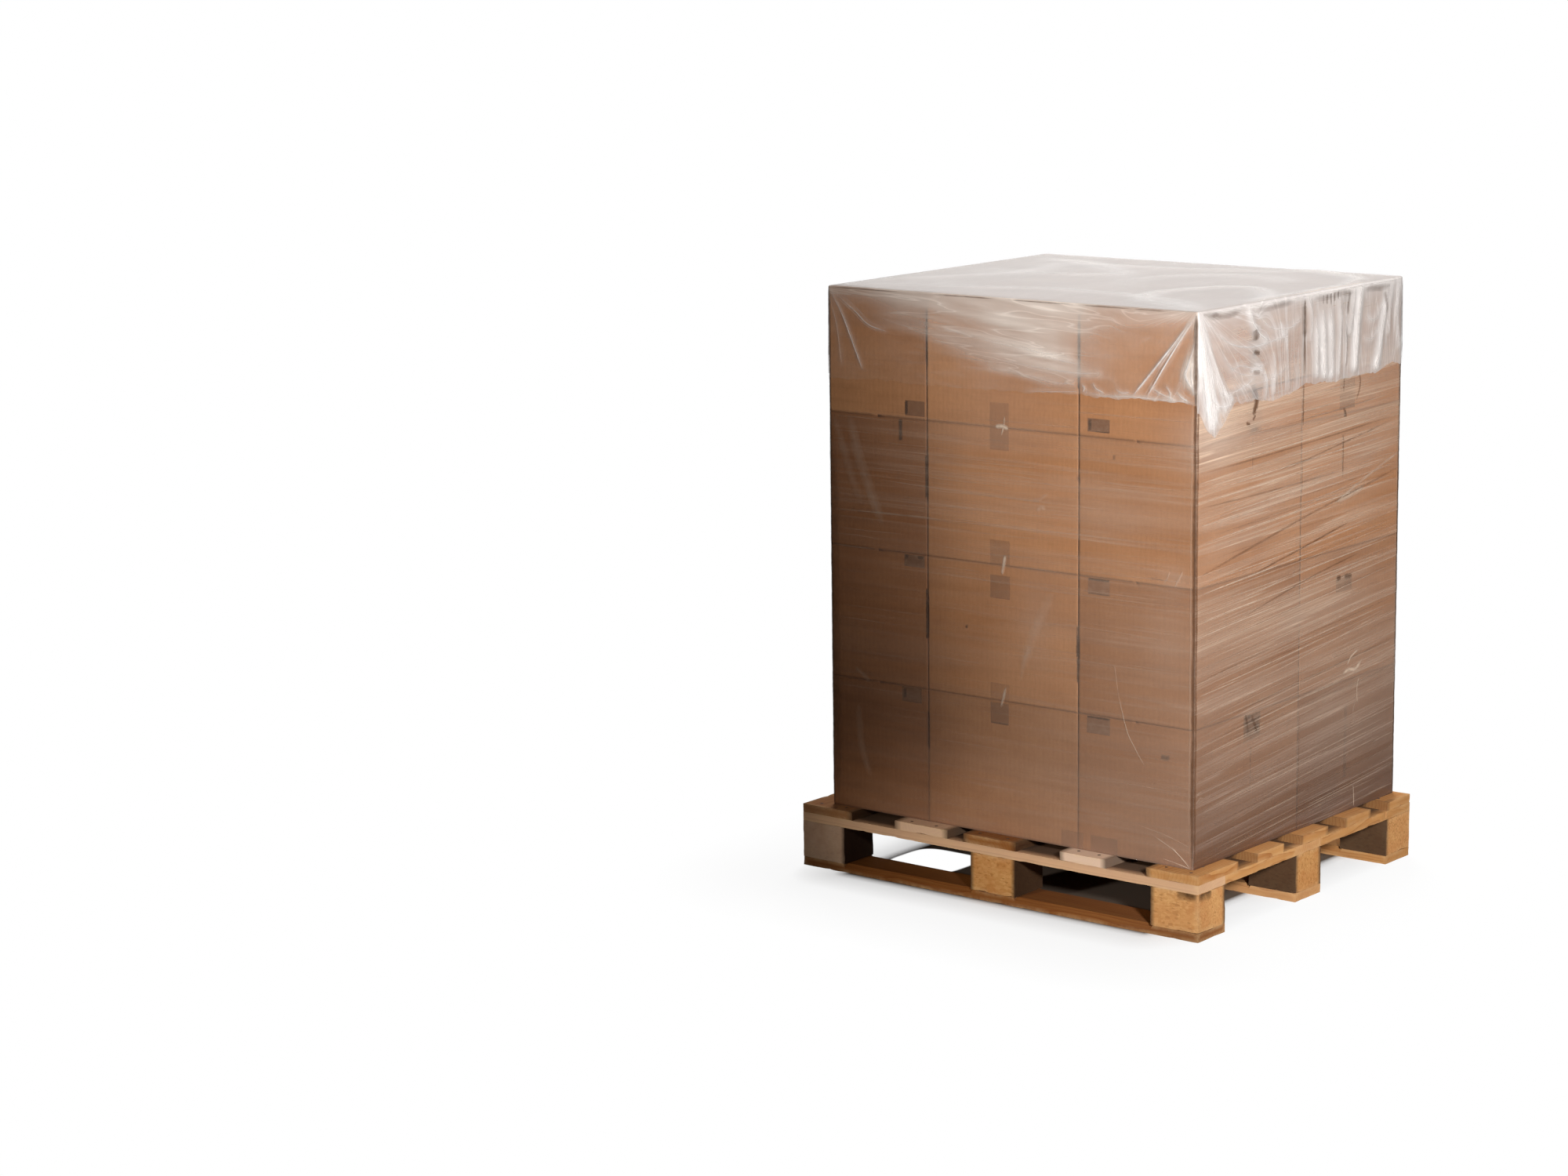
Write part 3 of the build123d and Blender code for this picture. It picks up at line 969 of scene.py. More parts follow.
# Single lines: width in millimetres, cover, tone (1 is pale and 0 shaded), then their places
FRONT_LINES = [
    (2.2, 0.75, 1.0, 339, 574, 366, 481, 391, 437, 420, 396), (3.0, 0.30, 1.0, 330, 640, 336, 600, 342, 566),
    (34.0, 0.20, 0.8, -470, 1180, -442, 1080, -401, 980, -367, 904),
    (26.0, 0.13, 0.8, -520, 1170, -490, 1090, -460, 1010, -430, 950),
    (14.0, 0.18, 0.9, -461, 531, -430, 512, -411, 497), (24.0, 0.15, 0.8, -448, 440, -440, 330, -410, 250),
    (2.4, 0.85, 1.0, 495, 211, 522, 190, 549, 165), (2.0, 0.60, 1.0, 440, 232, 500, 205, 552, 168),
    (3.0, 0.60, 1.0, 470, 178, 510, 172, 553, 164), (1.6, 0.35, 1.0, 400, 250, 480, 236, 553, 215),
    (12.0, 0.95, 1.0, -20, 1181, 2, 1184, 20, 1178), (6.0, 0.60, 1.0, -2, 1160, 6, 1186, 8, 1210),
    (11.0, 0.80, 1.0, 0, 818, 5, 842, 10, 868), (9.0, 0.60, 1.0, -4, 486, 4, 512, 12, 540),
    (30.0, 0.14, 1.0, 62, 590, 86, 660, 118, 730, 150, 790), (14.0, 0.12, 1.0, 56, 560, 66, 610, 84, 650),
    (10.0, 0.22, 1.0, 92, 1010, 112, 1016, 136, 1030), (12.0, 0.24, 1.0, 104, 986, 118, 996, 128, 990),
    (6.0, 0.34, 1.0, 500, 842, 512, 862, 524, 884), (5.0, 0.26, 1.0, 470, 848, 480, 862, 486, 880),
    (36.0, 0.42, 0.0, -521, 172, -523, 500, -522, 820, -524, 1180),
]
RIGHT_LINES = [
    (13.0, 0.85, 1.0, 219, 521, 250, 528, 282, 524, 315, 545), (7.0, 0.70, 1.0, 240, 540, 262, 560, 300, 574),
    (4.0, 0.70, 1.0, 286, 163, 284, 200, 280, 226), (5.0, 0.60, 1.0, 296, 430, 292, 470, 300, 505),
    (4.0, 0.45, 1.0, 282, 380, 276, 420, 290, 450), (16.0, 0.60, 1.0, 179, 964, 240, 972, 312, 985),
    (9.0, 0.50, 1.0, 150, 955, 260, 990, 400, 1030, 480, 1050),
    (22.0, 0.34, 1.0, -452, 980, -300, 992, -60, 1010, 120, 1040),
    (7.0, 0.36, 0.0, -452, 868, -260, 900, 60, 952, 300, 985, 484, 1012),
    (6.0, 0.55, 0.0, -200, 842, 20, 872, 240, 905), (5.0, 0.40, 0.0, -60, 1076, 120, 1098, 440, 1136),
    (5.0, 0.40, 0.0, -250, 742, 40, 790, 300, 820), (6.0, 0.70, 0.0, 15, 1290, 14, 1230, 15, 1172),
    (3.5, 0.35, 0.0, 14, 1090, 15, 1040, 14, 1000), (5.0, 0.55, 0.0, 204, 1292, 205, 1262, 204, 1232),
    (8.0, 0.50, 0.0, 262, 1284, 282, 1262, 280, 1232, 262, 1206),
    (20.0, 0.85, 0.0, -218, 1298, -206, 1280, -198, 1262, -206, 1240, -214, 1226),
    (10.0, 0.70, 0.0, -244, 1212, -236, 1208, -226, 1206), (8.0, 0.60, 0.0, -216, 1214, -208, 1220, -202, 1226),
    (14.0, 0.60, 0.0, 184, 772, 195, 770, 206, 771), (14.0, 0.60, 0.0, 222, 771, 240, 768, 260, 768),
    (9.0, 0.50, 0.0, -234, 502, -226, 478, -222, 456), (12.0, 0.50, 0.0, -206, 496, -192, 470, -180, 450),
    (5.0, 0.55, 0.0, 206, 1130, 207, 1080, 206, 1022), (10.0, 0.55, 0.0, 204, 1196, 212, 1184, 218, 1170),
    (4.0, 0.34, 0.0, 15, 176, 15, 330, 15, 482), (5.0, 0.34, 1.0, -446, 326, -432, 334, -420, 332),
    (4.0, 0.28, 1.0, -448, 344, -436, 346, -426, 352),
]
# How many lines run along the front, the right end, the back and the left end
STRAND_COUNTS = [300, 330, 320, 320]


def rise_of(height):
    """How steeply the film's lines climb on the load's ends, by height."""
    return np.interp(height, [0.2, 0.45, 0.65, 0.9, 1.2, 1.5], [0.075, 0.08, 0.075, 0.05, 0.035, 0.02])


def climb(along, height):
    """How far the film's lines have climbed at a place round the load."""
    on_ends = np.clip(along - FILM.width, 0, FILM.depth) + np.clip(along - FILM.starts[3], 0, FILM.depth)
    return on_ends * rise_of(height)


def film_lift(along, height):
    """The film's small pleats, drawn out along the wrap."""
    v = height - climb(along, height)
    fine = value_noise(along / 0.22, v / 0.009, 11)
    broad = value_noise(along / 0.6, v / 0.05, 12)
    return (0.2 + 0.9 * fine + 0.9 * broad) * MM


def foot_share(height):
    """1 at the load's foot, where many turns of film lie over each other, falling to 0 half way up."""
    return np.clip(1 - (height - LOAD_LOW.z) / 0.78, 0, 1) ** 1.15


def film_haze(along, height):
    """How milky the film is: more towards the foot, least in the upper left of the front."""
    on_front = along < FILM.width
    across = np.clip(along / FILM.width, 0, 1)
    far = np.clip((along - FILM.width) / FILM.depth, 0, 1)
    base = np.where(on_front, 0.035 * across ** 2, 0.06)
    foot = foot_share(height) * np.where(on_front, 0.02 + 0.34 * across, 0.44 + 0.08 * far)
    upper = np.where(on_front, 0.0, np.clip((height - 1.10) / 0.16, 0, 1) * 0.20)
    cloud = np.clip(value_noise(along / 0.17, height / 0.12, 21) - 0.55, 0, 1)
    haze = base + foot + upper + cloud * np.where(on_front, 0.05, 0.14)
    for side, a, b, wide, high, amount in HAZE_PATCHES:
        s, z = side(FILM, a, b)
        rise = (height - z) - (rise_of(z) * (along - s) if side is right else 0)
        haze = haze + amount * np.exp(-((along - s) / (wide * MM)) ** 2 - (rise / (high * MM)) ** 2)
    return haze


def stretch_film():
    """The film's single skin, with the look of many turns."""
    columns = np.append(FILM.columns(16 * MM), FILM.length)
    rows = np.linspace(LOAD_LOW.z + 0.5 * MM, LOAD_HIGH.z - 0.5 * MM, 330)
    s, z = np.meshgrid(columns, rows)
    points = FILM.at(s, z, film_lift(s, z)).reshape(-1, 3)
    mesh = bpy.data.meshes.new("stretch_film")
    mesh.from_pydata(points.tolist(), [], quads(np.arange(s.size).reshape(s.shape).T))
    on_long_side = (s < FILM.width) | ((s > FILM.starts[2]) & (s < FILM.starts[3]))
    drawn = np.where(
        on_long_side, np.interp(z, [0.5, 0.75, 1.0, 1.17, 1.19], [0.24, 0.28, 0.46, 0.40, 0.12]),
        np.interp(z, [0.16, 0.5, 0.7, 1.3, 1.4], [0.38, 0.52, 0.8, 1.0, 0.6]),
    )
    drawn = np.where(s < FILM.width, drawn * np.interp(s, [0.0, 0.45], [0.45, 1.0]), drawn)
    attributes = {
        "lay": np.stack([s, z - climb(s, z), 0 * s], axis=-1).reshape(-1, 3),
        "haze": film_haze(s, z).ravel(), "drawn": drawn.ravel(),
        "foot": (foot_share(z) * np.where(on_long_side, 0.55, 1.0)).ravel(),
    }
    made = finish_mesh(mesh, "stretch_film_wrap", film_material(), attributes, "stretch_film", "stretch_film")


def crest(patches, ring, line, width, lift, cover, tone=1.0, lift_of=None, height=0.5 * MM, start=5):
    """A narrow pleat along a line of (distance round, height), tapered to both ends."""
    side = sideways(line)
    taper = tapered(np.linspace(0, 1, len(line)), start, 5) ** 0.7
    rows = []
    for share in (-1, 0, 1):
        p = line + side * (share * width / 2 * (0.25 + 0.75 * taper))[:, None]
        base = lift_of(p[:, 0], p[:, 1]) if lift_of else 0.0
        rows.append(ring.at(p[:, 0], p[:, 1], base + lift + (height if share == 0 else 0.0)))
    patches.grid(np.stack(rows), np.stack([cover * taper * k for k in (0.25, 1.0, 0.25)]), tone)


def random_strands(strands, side, spin):
    """The many fine lines of one side: level on the long sides, climbing on the ends."""
    start, length = FILM.starts[side], FILM.sides[side]
    on_end = side in (1, 3)
    low_z = LOAD_LOW.z + 0.01
    reaches = (0.15, 0.3, 0.5, 0.8) if on_end else (0.05, 0.1, 0.18, 0.3)
    for _ in range(STRAND_COUNTS[side]):
        middle = spin.uniform(0.0, length)
        reach = spin.choice(reaches) * spin.uniform(0.6, 1.3)
        if on_end:
            z = spin.uniform(low_z, LOAD_HIGH.z - 0.02)
        else:
            z = spin.triangular(low_z, LOAD_HIGH.z - 0.03, 1.08)
        a, b = max(0.004, middle - reach), min(length - 0.004, middle + reach)
        if b - a < 0.03:
            continue
        s = np.linspace(a, b, max(4, round((b - a) / 0.03)) + 1)
        crossing = on_end and spin.random() < 0.08
        slope = (rise_of(z) if on_end else 0.0) + spin.gauss(0, 0.05 if crossing else 0.007)
        bow = spin.gauss(0, 0.003)
        line = z + slope * (s - middle) + bow * np.sin((s - a) / (b - a) * math.pi)
        if side == 0 and z > TOP_ROW + 0.03 and spin.random() < 0.75:
            continue
        strong = spin.random() ** 2.5
        shaded = on_end and spin.random() < 0.22
        width = (1.3 + 2.4 * strong) * MM * (1.5 if shaded else 1.0)
        cover = (0.22 + 0.50 * strong) * (1.0 if on_end else 0.36)
        cover *= np.interp(z, [0.2, 0.5, 0.75], [0.5, 0.7, 1.0]) * (0.5 if shaded else 1.0)
        places = np.stack([start + s, np.clip(line, low_z, LOAD_HIGH.z - 0.004)], axis=1)
        tone = 0.0 if shaded else 1.0 if on_end else 0.7
        crest(strands, FILM, places, width, 0.25 * MM, cover, tone, film_lift)


def film_strands():
    """The film's drawn lines as narrow crests, and the shaded edges of the load."""
    strands = Patches()
    spin = random.Random(31)
    for side, rows in ((front, FRONT_LINES), (right, RIGHT_LINES)):
        for width, cover, tone, *places in rows:
            line = traced(side, FILM, places)
            crest(strands, FILM, line, width * MM, 0.35 * MM, cover, tone, film_lift)
    for side in range(4):
        random_strands(strands, side, spin)
    z = np.linspace(LOAD_LOW.z + 0.004, LOAD_HIGH.z - 0.004, 160)
    wander = (value_noise(z / 0.08, 0 * z, 61) - 0.5) * 1.5 * MM
    for start in FILM.starts[1:]:
        pale = np.stack([start - 13 * MM + wander, z], axis=1)
        crest(strands, FILM, pale, 4.0 * MM, 0.3 * MM, 0.24, 1.0, film_lift)
        for aside, wide in ((-4, 9), (3, 7)):
            dark = np.stack([np.minimum(start + aside * MM + wander, FILM.length), z], axis=1)
            crest(strands, FILM, dark, wide * MM, 0.6 * MM, 0.80, 0.0, film_lift, 0.2 * MM, 20)
    material = strand_material("film_crests", srgb(112, 76, 52), srgb(236, 210, 186))
    strands.piece("stretch_film_crests", material, "stretch_film")


# Top sheet

SHEET_TOP = LOAD_HIGH.z + 2.4 * MM
RIM_RADIUS = 4 * MM
# The hem's level round the front and the right end, in millimetres
HEM_FRONT = [
    (-530, 1262), (-400, 1270), (-65, 1268), (52, 1271), (228, 1281), (279, 1274), (379, 1281),
    (456, 1280), (556, 1279),
]
HEM_RIGHT = [
    (-452, 1262), (-427, 1224), (-386, 1193), (-346, 1223), (-302, 1264), (-208, 1263), (-130, 1250),
    (-53, 1260), (26, 1278), (148, 1264), (210, 1266), (260, 1273), (364, 1267), (430, 1284), (482, 1276),
]
# On the front the sheet is milky down to this edge, in millimetres, and this much
MILKY_EDGE = [(-533, 1440), (-430, 1400), (-230, 1361), (15, 1307), (223, 1282), (240, 1300), (557, 1420)]
MILKY = [
    (-533, 0.0), (-430, 0.06), (-300, 0.18), (-200, 0.28), (15, 0.38), (150, 0.38), (225, 0.24),
    (290, 0.09), (557, 0.03),
]
# Stretches where a shaded crease runs just below the rim, on the front and on the right end
RIM_SHADOWS = [(-520, -306), (-209, -19), (9, 211), (235, 372), (380, 470)]
RIM_HOLLOWS = [(-420, -270), (-200, -30), (64, 140), (128, 240), (296, 420)]
# Dark places of the right end that show through the sheet: width, cover, then the line's places
DARK_PLACES = [
    (8, 0.85, 14, 1486, 14, 1400, 15, 1292), (24, 0.40, 10, 1468, 12, 1430, 14, 1388),
    (24, 0.65, -212, 1432, -209, 1418, -207, 1404), (13, 0.65, -218, 1378, -204, 1375, -190, 1373),
    (14, 0.35, -222, 1332, -206, 1328, -190, 1326), (7, 0.50, 98, 1484, 99, 1460),
    (8, 0.60, 116, 1485, 117, 1458), (8, 0.60, 134, 1486, 135, 1456), (8, 0.50, 152, 1486, 152, 1462),
    (7, 0.45, 168, 1487, 168, 1466), (11, 0.45, 226, 1482, 218, 1452, 214, 1424),
    (8, 0.30, 208, 1400, 212, 1340, 210, 1296), (16, 0.35, 392, 1466, 398, 1440, 404, 1410),
    (12, 0.35, -440, 1486, -410, 1484, -370, 1482),
]
# Folds: width, height, milkiness, brightness and breadth of the crest, then the line's places
FRONT_FOLDS = [
    # the double folds from the near corner
    (6, 2.5, 0.16, 1.0, 5.0, 556, 1490, 477, 1396, 379, 1284),
    (6, 2.5, 0.16, 1.0, 4.5, 556, 1488, 492, 1397, 419, 1284),
    (5, 1.5, 0.06, 0.55, 2.5, 548, 1474, 500, 1416, 446, 1350),
    (15, 3.0, 0.50, 0.90, 9.0, 552, 1420, 534, 1366, 528, 1346, 546, 1316),
    (12, 2.0, 0.40, 0.60, 8.0, 550, 1390, 544, 1350, 552, 1300),
    (12, 2.0, 0.14, 0.25, 2.5, 528, 1340, 500, 1300, 488, 1284),
    # small ones along the hem
    (7, 1.0, 0.20, 0.75, 3.0, 430, 1312, 462, 1298, 500, 1286),
    (6, 1.0, 0.20, 0.70, 3.5, 472, 1320, 486, 1302, 482, 1286),
    (7, 1.0, 0.24, 0.80, 4.0, 506, 1306, 516, 1294, 536, 1286),
    (6, 1.0, 0.18, 0.70, 3.0, 234, 1306, 244, 1296, 240, 1286),
    (6, 1.0, 0.16, 0.60, 2.5, 268, 1312, 276, 1298, 300, 1288),
    (6, 1.0, 0.16, 0.55, 2.5, 330, 1300, 352, 1292, 372, 1296),
    (8, 1.2, 0.26, 0.55, 3.0, 228, 1287, 300, 1280, 379, 1285, 456, 1284, 555, 1283),
    (8, 1.0, 0.10, 0.30, 2.5, 60, 1276, 150, 1280, 228, 1286),
    # the top left corner's folds
    (8, 2.0, 0.14, 0.75, 3.5, -529, 1488, -487, 1427, -451, 1351, -424, 1292),
    (7, 1.6, 0.12, 0.60, 3.0, -527, 1489, -450, 1439, -403, 1405, -345, 1392),
    (10, 1.5, 0.08, 0.25, 2.5, -530, 1470, -505, 1400, -490, 1300),
    # slack across the front, below the rim
    (16, 2.4, 0.16, 0.0, 2.5, -420, 1478, -150, 1452, 120, 1440, 380, 1462, 545, 1488),
    (18, 2.0, 0.14, 0.25, 3.0, -240, 1412, -60, 1392, 120, 1372, 215, 1368),
    (14, 2.0, 0.16, 0.35, 3.0, -100, 1352, 60, 1340, 215, 1330, 300, 1336),
    (14, 1.8, 0.13, 0.30, 2.5, -140, 1318, 20, 1322, 160, 1302, 220, 1308),
    (10, 1.6, 0.12, 0.35, 2.5, 40, 1390, 150, 1362, 230, 1352),
]
RIGHT_FOLDS = [
    # the white fan of the near corner
    (24, 4.0, 0.50, 0.70, 6.0, -452, 1488, -434, 1400, -408, 1300, -390, 1204),
    (9, 3.5, 0.36, 0.95, 3.5, -450, 1486, -402, 1390, -345, 1300, -304, 1270),
    (11, 3.0, 0.34, 0.60, 4.0, -452, 1470, -448, 1380, -436, 1290, -424, 1232),
    (10, 2.0, 0.30, 0.70, 4.0, -424, 1330, -398, 1280, -352, 1262, -310, 1268),
    (7, 1.5, 0.14, 0.60, 2.5, -372, 1300, -330, 1290, -262, 1300, -210, 1318),
    (7, 1.5, 0.14, 0.55, 2.5, -330, 1340, -280, 1352, -216, 1340, -150, 1346),
    (9, 1.5, 0.30, 0.80, 6.0, -236, 1330, -206, 1336, -176, 1328),
    (9, 1.5, 0.30, 0.80, 7.0, -96, 1440, -92, 1420, -84, 1402),
    (10, 3.0, 0.34, 0.80, 5.0, -430, 1405, -404, 1340, -388, 1268, -380, 1236),
    (9, 2.5, 0.30, 0.70, 4.0, -404, 1362, -372, 1316, -346, 1268, -338, 1244),
    (8, 2.5, 0.24, 0.65, 3.0, -448, 1440, -430, 1330, -410, 1240, -402, 1210),
    (12, 2.6, 0.20, 0.70, 4.0, -448, 1488, -350, 1420, -240, 1392, -120, 1398, -62, 1404),
    (12, 2.2, 0.14, 0.35, 3.0, -440, 1470, -350, 1372, -268, 1330, -160, 1318),
    (12, 2.0, 0.14, 0.35, 3.0, -300, 1290, -220, 1300, -120, 1310, -66, 1330),
    # the bunch at the rim
    (14, 4.0, 0.34, 0.80, 7.0, -236, 1488, -232, 1460, -196, 1420, -150, 1398),
    (12, 2.4, 0.18, 0.50, 3.5, -222, 1486, -150, 1432, -60, 1420, 0, 1440),
    # hanging folds
    (10, 3.0, 0.24, 0.65, 4.0, -128, 1372, -124, 1320, -128, 1268),
    (9, 2.4, 0.16, 0.45, 3.0, -70, 1440, -66, 1350, -60, 1266),
    (10, 2.4, 0.20, 0.50, 4.0, -168, 1330, -160, 1290, -168, 1258),
    (10, 2.5, 0.20, 0.70, 4.0, 30, 1488, 44, 1440, 40, 1372),
    (16, 4.0, 0.46, 0.80, 10.0, 66, 1440, 70, 1380, 68, 1330, 72, 1282),
    (18, 4.0, 0.52, 0.90, 14.0, 96, 1452, 100, 1400, 104, 1330, 106, 1276),
    (16, 3.5, 0.42, 0.70, 8.0, 132, 1450, 138, 1400, 140, 1330, 142, 1272),
    (12, 3.0, 0.26, 0.80, 4.5, 172, 1480, 180, 1420, 176, 1340, 172, 1274),
    (12, 2.0, 0.14, 0.35, 3.0, 204, 1440, 210, 1380, 206, 1300),
    (18, 6.0, 0.55, 1.0, 13.0, 280, 1491, 266, 1440, 256, 1360, 246, 1276),
    (14, 4.0, 0.28, 0.65, 6.0, 250, 1488, 236, 1430, 226, 1372),
    (16, 5.0, 0.46, 1.0, 10.0, 412, 1480, 386, 1400, 366, 1320, 352, 1276),
    (14, 3.0, 0.30, 0.90, 14.0, 358, 1310, 354, 1292, 348, 1272),
    (12, 3.0, 0.20, 0.45, 4.0, 430, 1480, 420, 1420, 412, 1352),
    (12, 2.5, 0.18, 0.45, 3.5, 300, 1420, 340, 1400, 392, 1440),
    (10, 2.0, 0.14, 0.40, 3.0, 290, 1360, 330, 1352, 360, 1380),
    (12, 3.0, 0.26, 0.55, 5.0, 468, 1486, 456, 1400, 470, 1310),
    (8, 1.5, 0.30, 0.40, 5.0, -452, 1487, -240, 1487, 60, 1488, 270, 1490, 480, 1489),
]
BROAD_FOLDS = [
    (26, 4.0, 0.20, 0.55, 9.0, 548, -446, 440, -380, 334, -340, 255, -200, 290, -60, 373, 30, 451, -4,
     530, -120, 554, -214),
    (24, 4.5, 0.26, 0.75, 10.0, 554, -214, 556, -40, 556, 120, 552, 250, 497, 363, 390, 429, 240, 462),
    (34, 3.5, 0.14, 0.35, 10.0, -420, 60, -231, 43, -91, 85, -60, 150, -133, 217, -314, 339, -430, 330),
    (30, 2.5, 0.12, 0.30, 8.0, -500, -420, -260, -330, 0, -250, 240, -250, 420, -320, 545, -440),
    (34, 3.5, 0.12, 0.30, 9.0, -480, 380, -200, 300, 60, 330, 300, 420),
    (36, 3.0, 0.10, 0.25, 9.0, 120, -120, 40, 60, 120, 220, 280, 260, 420, 180),
    (36, 2.5, 0.09, 0.0, 2.5, -520, -300, -380, -120, -300, 100, -360, 300),
]


class Fold:
    """A fold of the sheet: its line, how wide and high it stands, how milky it is and its crest."""

    def __init__(self, side, width, height, haze, bright, broad, *places):
        self.line = traced(side, SHEET, places)
        self.width, self.height, self.haze = width * MM, height * MM, haze
        self.bright, self.broad = bright, broad * MM


SIDE_FOLDS = [Fold(side, *row) for side, rows in ((front, FRONT_FOLDS), (right, RIGHT_FOLDS)) for row in rows]
TOP_FOLDS = [Fold(above, *row) for row in BROAD_FOLDS]


def hem_level(along):
    """The hem's height round the load; the unseen sides repeat the seen ones."""
    front_s, front_z = np.array([front(SHEET, *p) for p in HEM_FRONT]).T
    right_s, right_z = np.array([right(SHEET, *p) for p in HEM_RIGHT]).T
    t = np.mod(np.asarray(along, float), SHEET.half)
    level = np.where(t < SHEET.width, np.interp(t, front_s, front_z), np.interp(t, right_s, right_z))
    ragged = value_noise(along / 0.011, 0 * along, 41) + value_noise(along / 0.035, 0 * along, 42)
    return level + (ragged - 1.0) * 5 * MM


def folded(folds, points):
    """How far the folds lift each point, and how milky they make it."""
    lift, haze = np.zeros((2, len(points)))
    for fold in folds:
        reach = fold.width * 3
        lowest, highest = fold.line.min(axis=0) - reach, fold.line.max(axis=0) + reach
        near = np.all((points > lowest) & (points < highest), axis=1)
        if not near.any():
            continue
        gap, share = distance_to(points[near], fold.line)
        hill = np.exp(-((gap / fold.width) ** 2)) * (0.12 + 0.88 * tapered(share, 3.5, 10))
        lift[near] = np.maximum(lift[near], fold.height * hill)
        haze[near] += fold.haze * hill
    return lift, haze


def skirt_field(along, height):
    """The hanging edge's lift off the film and its milkiness; each side repeats the opposite one."""
    shape = np.shape(along)
    along, height = np.ravel(along), np.ravel(height)
    s = np.where(along >= SHEET.half, along - SHEET.half, along)
    lift, haze = folded(SIDE_FOLDS, np.stack([s, height], axis=1))
    edge_s, edge_z = np.array([front(SHEET, *p) for p in MILKY_EDGE]).T
    milk_s, milk = np.array([(front(SHEET, x, 0)[0], m) for x, m in MILKY]).T
    wander = (value_noise(s / 0.13, height / 0.03, 54) - 0.5) * 0.03
    over_edge = np.clip((height + wander - np.interp(s, edge_s, edge_z)) / 0.05, 0, 1)
    streaks = 0.55 + 0.9 * value_noise(s / 0.11, (height + 0.1 * s) / 0.009, 55)
    haze += np.where(s < SHEET.width, over_edge * np.interp(s, milk_s, milk) * streaks, 0)
    down = np.clip((SHEET_TOP - height) / 0.22, 0, 1.3)
    loose = value_noise(along / 0.05, height / 0.2, 51)
    ripple = value_noise(along / 0.016, height / 0.06, 52)
    lift += down * (loose * 2.6 + ripple * 0.8) * MM
    return lift.reshape(shape), haze.reshape(shape)


def skirt_lift(along, height):
    return skirt_field(along, height)[0]


def top_field(x, y):
    """The laid part's height over the cartons and its milkiness."""
    points = np.stack([x.ravel(), y.ravel()], axis=1)
    lift, haze = folded(TOP_FOLDS, points)
    inset = np.minimum(points - SHEET.low, SHEET.high - points).min(axis=1)
    slack = value_noise(points[:, 0] / 0.12 + 3, points[:, 1] / 0.10, 53) * 3.0 * MM
    lift = (lift + slack) * np.clip(inset / 0.02, 0, 1)
    return lift.reshape(x.shape), haze.reshape(x.shape)


def skirt():
    """The hanging edge: a grid of points, from the rim down, with milkiness, texture place and look."""
    columns = SHEET.columns(5.5 * MM)
    rim = SHEET_TOP - RIM_RADIUS * np.array([0, 0.12, 0.4, 1.0, 1.6])
    rim_rows = np.broadcast_to(rim[:, None], (len(rim), len(columns)))
    share = np.linspace(0, 1, 34)[1:, None]
    level = np.concatenate([rim_rows, rim[-1] * (1 - share) + hem_level(columns) * share])
    s = np.broadcast_to(columns, level.shape)
    drop = SHEET_TOP - level
    tuck = RIM_RADIUS - np.sqrt(np.maximum(RIM_RADIUS ** 2 - np.maximum(RIM_RADIUS - drop, 0) ** 2, 0))
    lift, milk = skirt_field(s, level)
    points = SHEET.at(s, level, lift * np.clip(drop / 0.012, 0, 1) - tuck)
    # milkier on the ends, to the far side and in a band below the rim
    on_long = np.isin(SHEET.side_of(columns), (0, 2))
    places = np.mod(columns, SHEET.half)
    fading = np.clip((places - 0.15) / 0.7, 0, 1)
    far = np.clip(places - SHEET.width, 0, SHEET.depth) / SHEET.depth
    on_end = np.interp(far, [0.0, 0.45, 0.6, 1.0], [0.24, 0.28, 0.36, 0.38])
    base = np.where(on_long, 0.02 + 0.05 * fading, on_end)
    band = np.where(on_long, np.interp(fading, [0.0, 0.6, 0.8, 1.0], [0.1, 0.7, 0.4, 0.1]), 0.4)
    near_rim = np.exp(-(drop / (0.02 + 0.055 * band)) ** 2) * 0.28
    # the fine creases run level on the long sides, down on the ends and like a fan from the corner
    aside = np.abs(places - SHEET.width)
    angle, reach = np.arctan2(aside, drop + 0.01), np.hypot(aside, drop)
    pull = np.clip(np.where(on_long, (0.24 - aside) / 0.08, (0.40 - aside) / 0.14), 0, 1)
    across = np.where(on_long, level + 0.06 * places, places)
    down = np.where(on_long, places, level)
    fan_across = np.where(on_long, (angle - 0.94) * 0.22 + 1.45, (angle - 1.22) * 0.22 + 1.39)
    fan_down = np.where(on_long, 1.126 - reach, reach + 1.09)
    lay = np.stack([across + pull * (fan_across - across), down + pull * (fan_down - down), 0 * s], axis=-1)
    drawn = np.broadcast_to(np.where(on_long, 0.55, 1.15), level.shape)
    return columns, points, milk + base + near_rim, lay, drawn


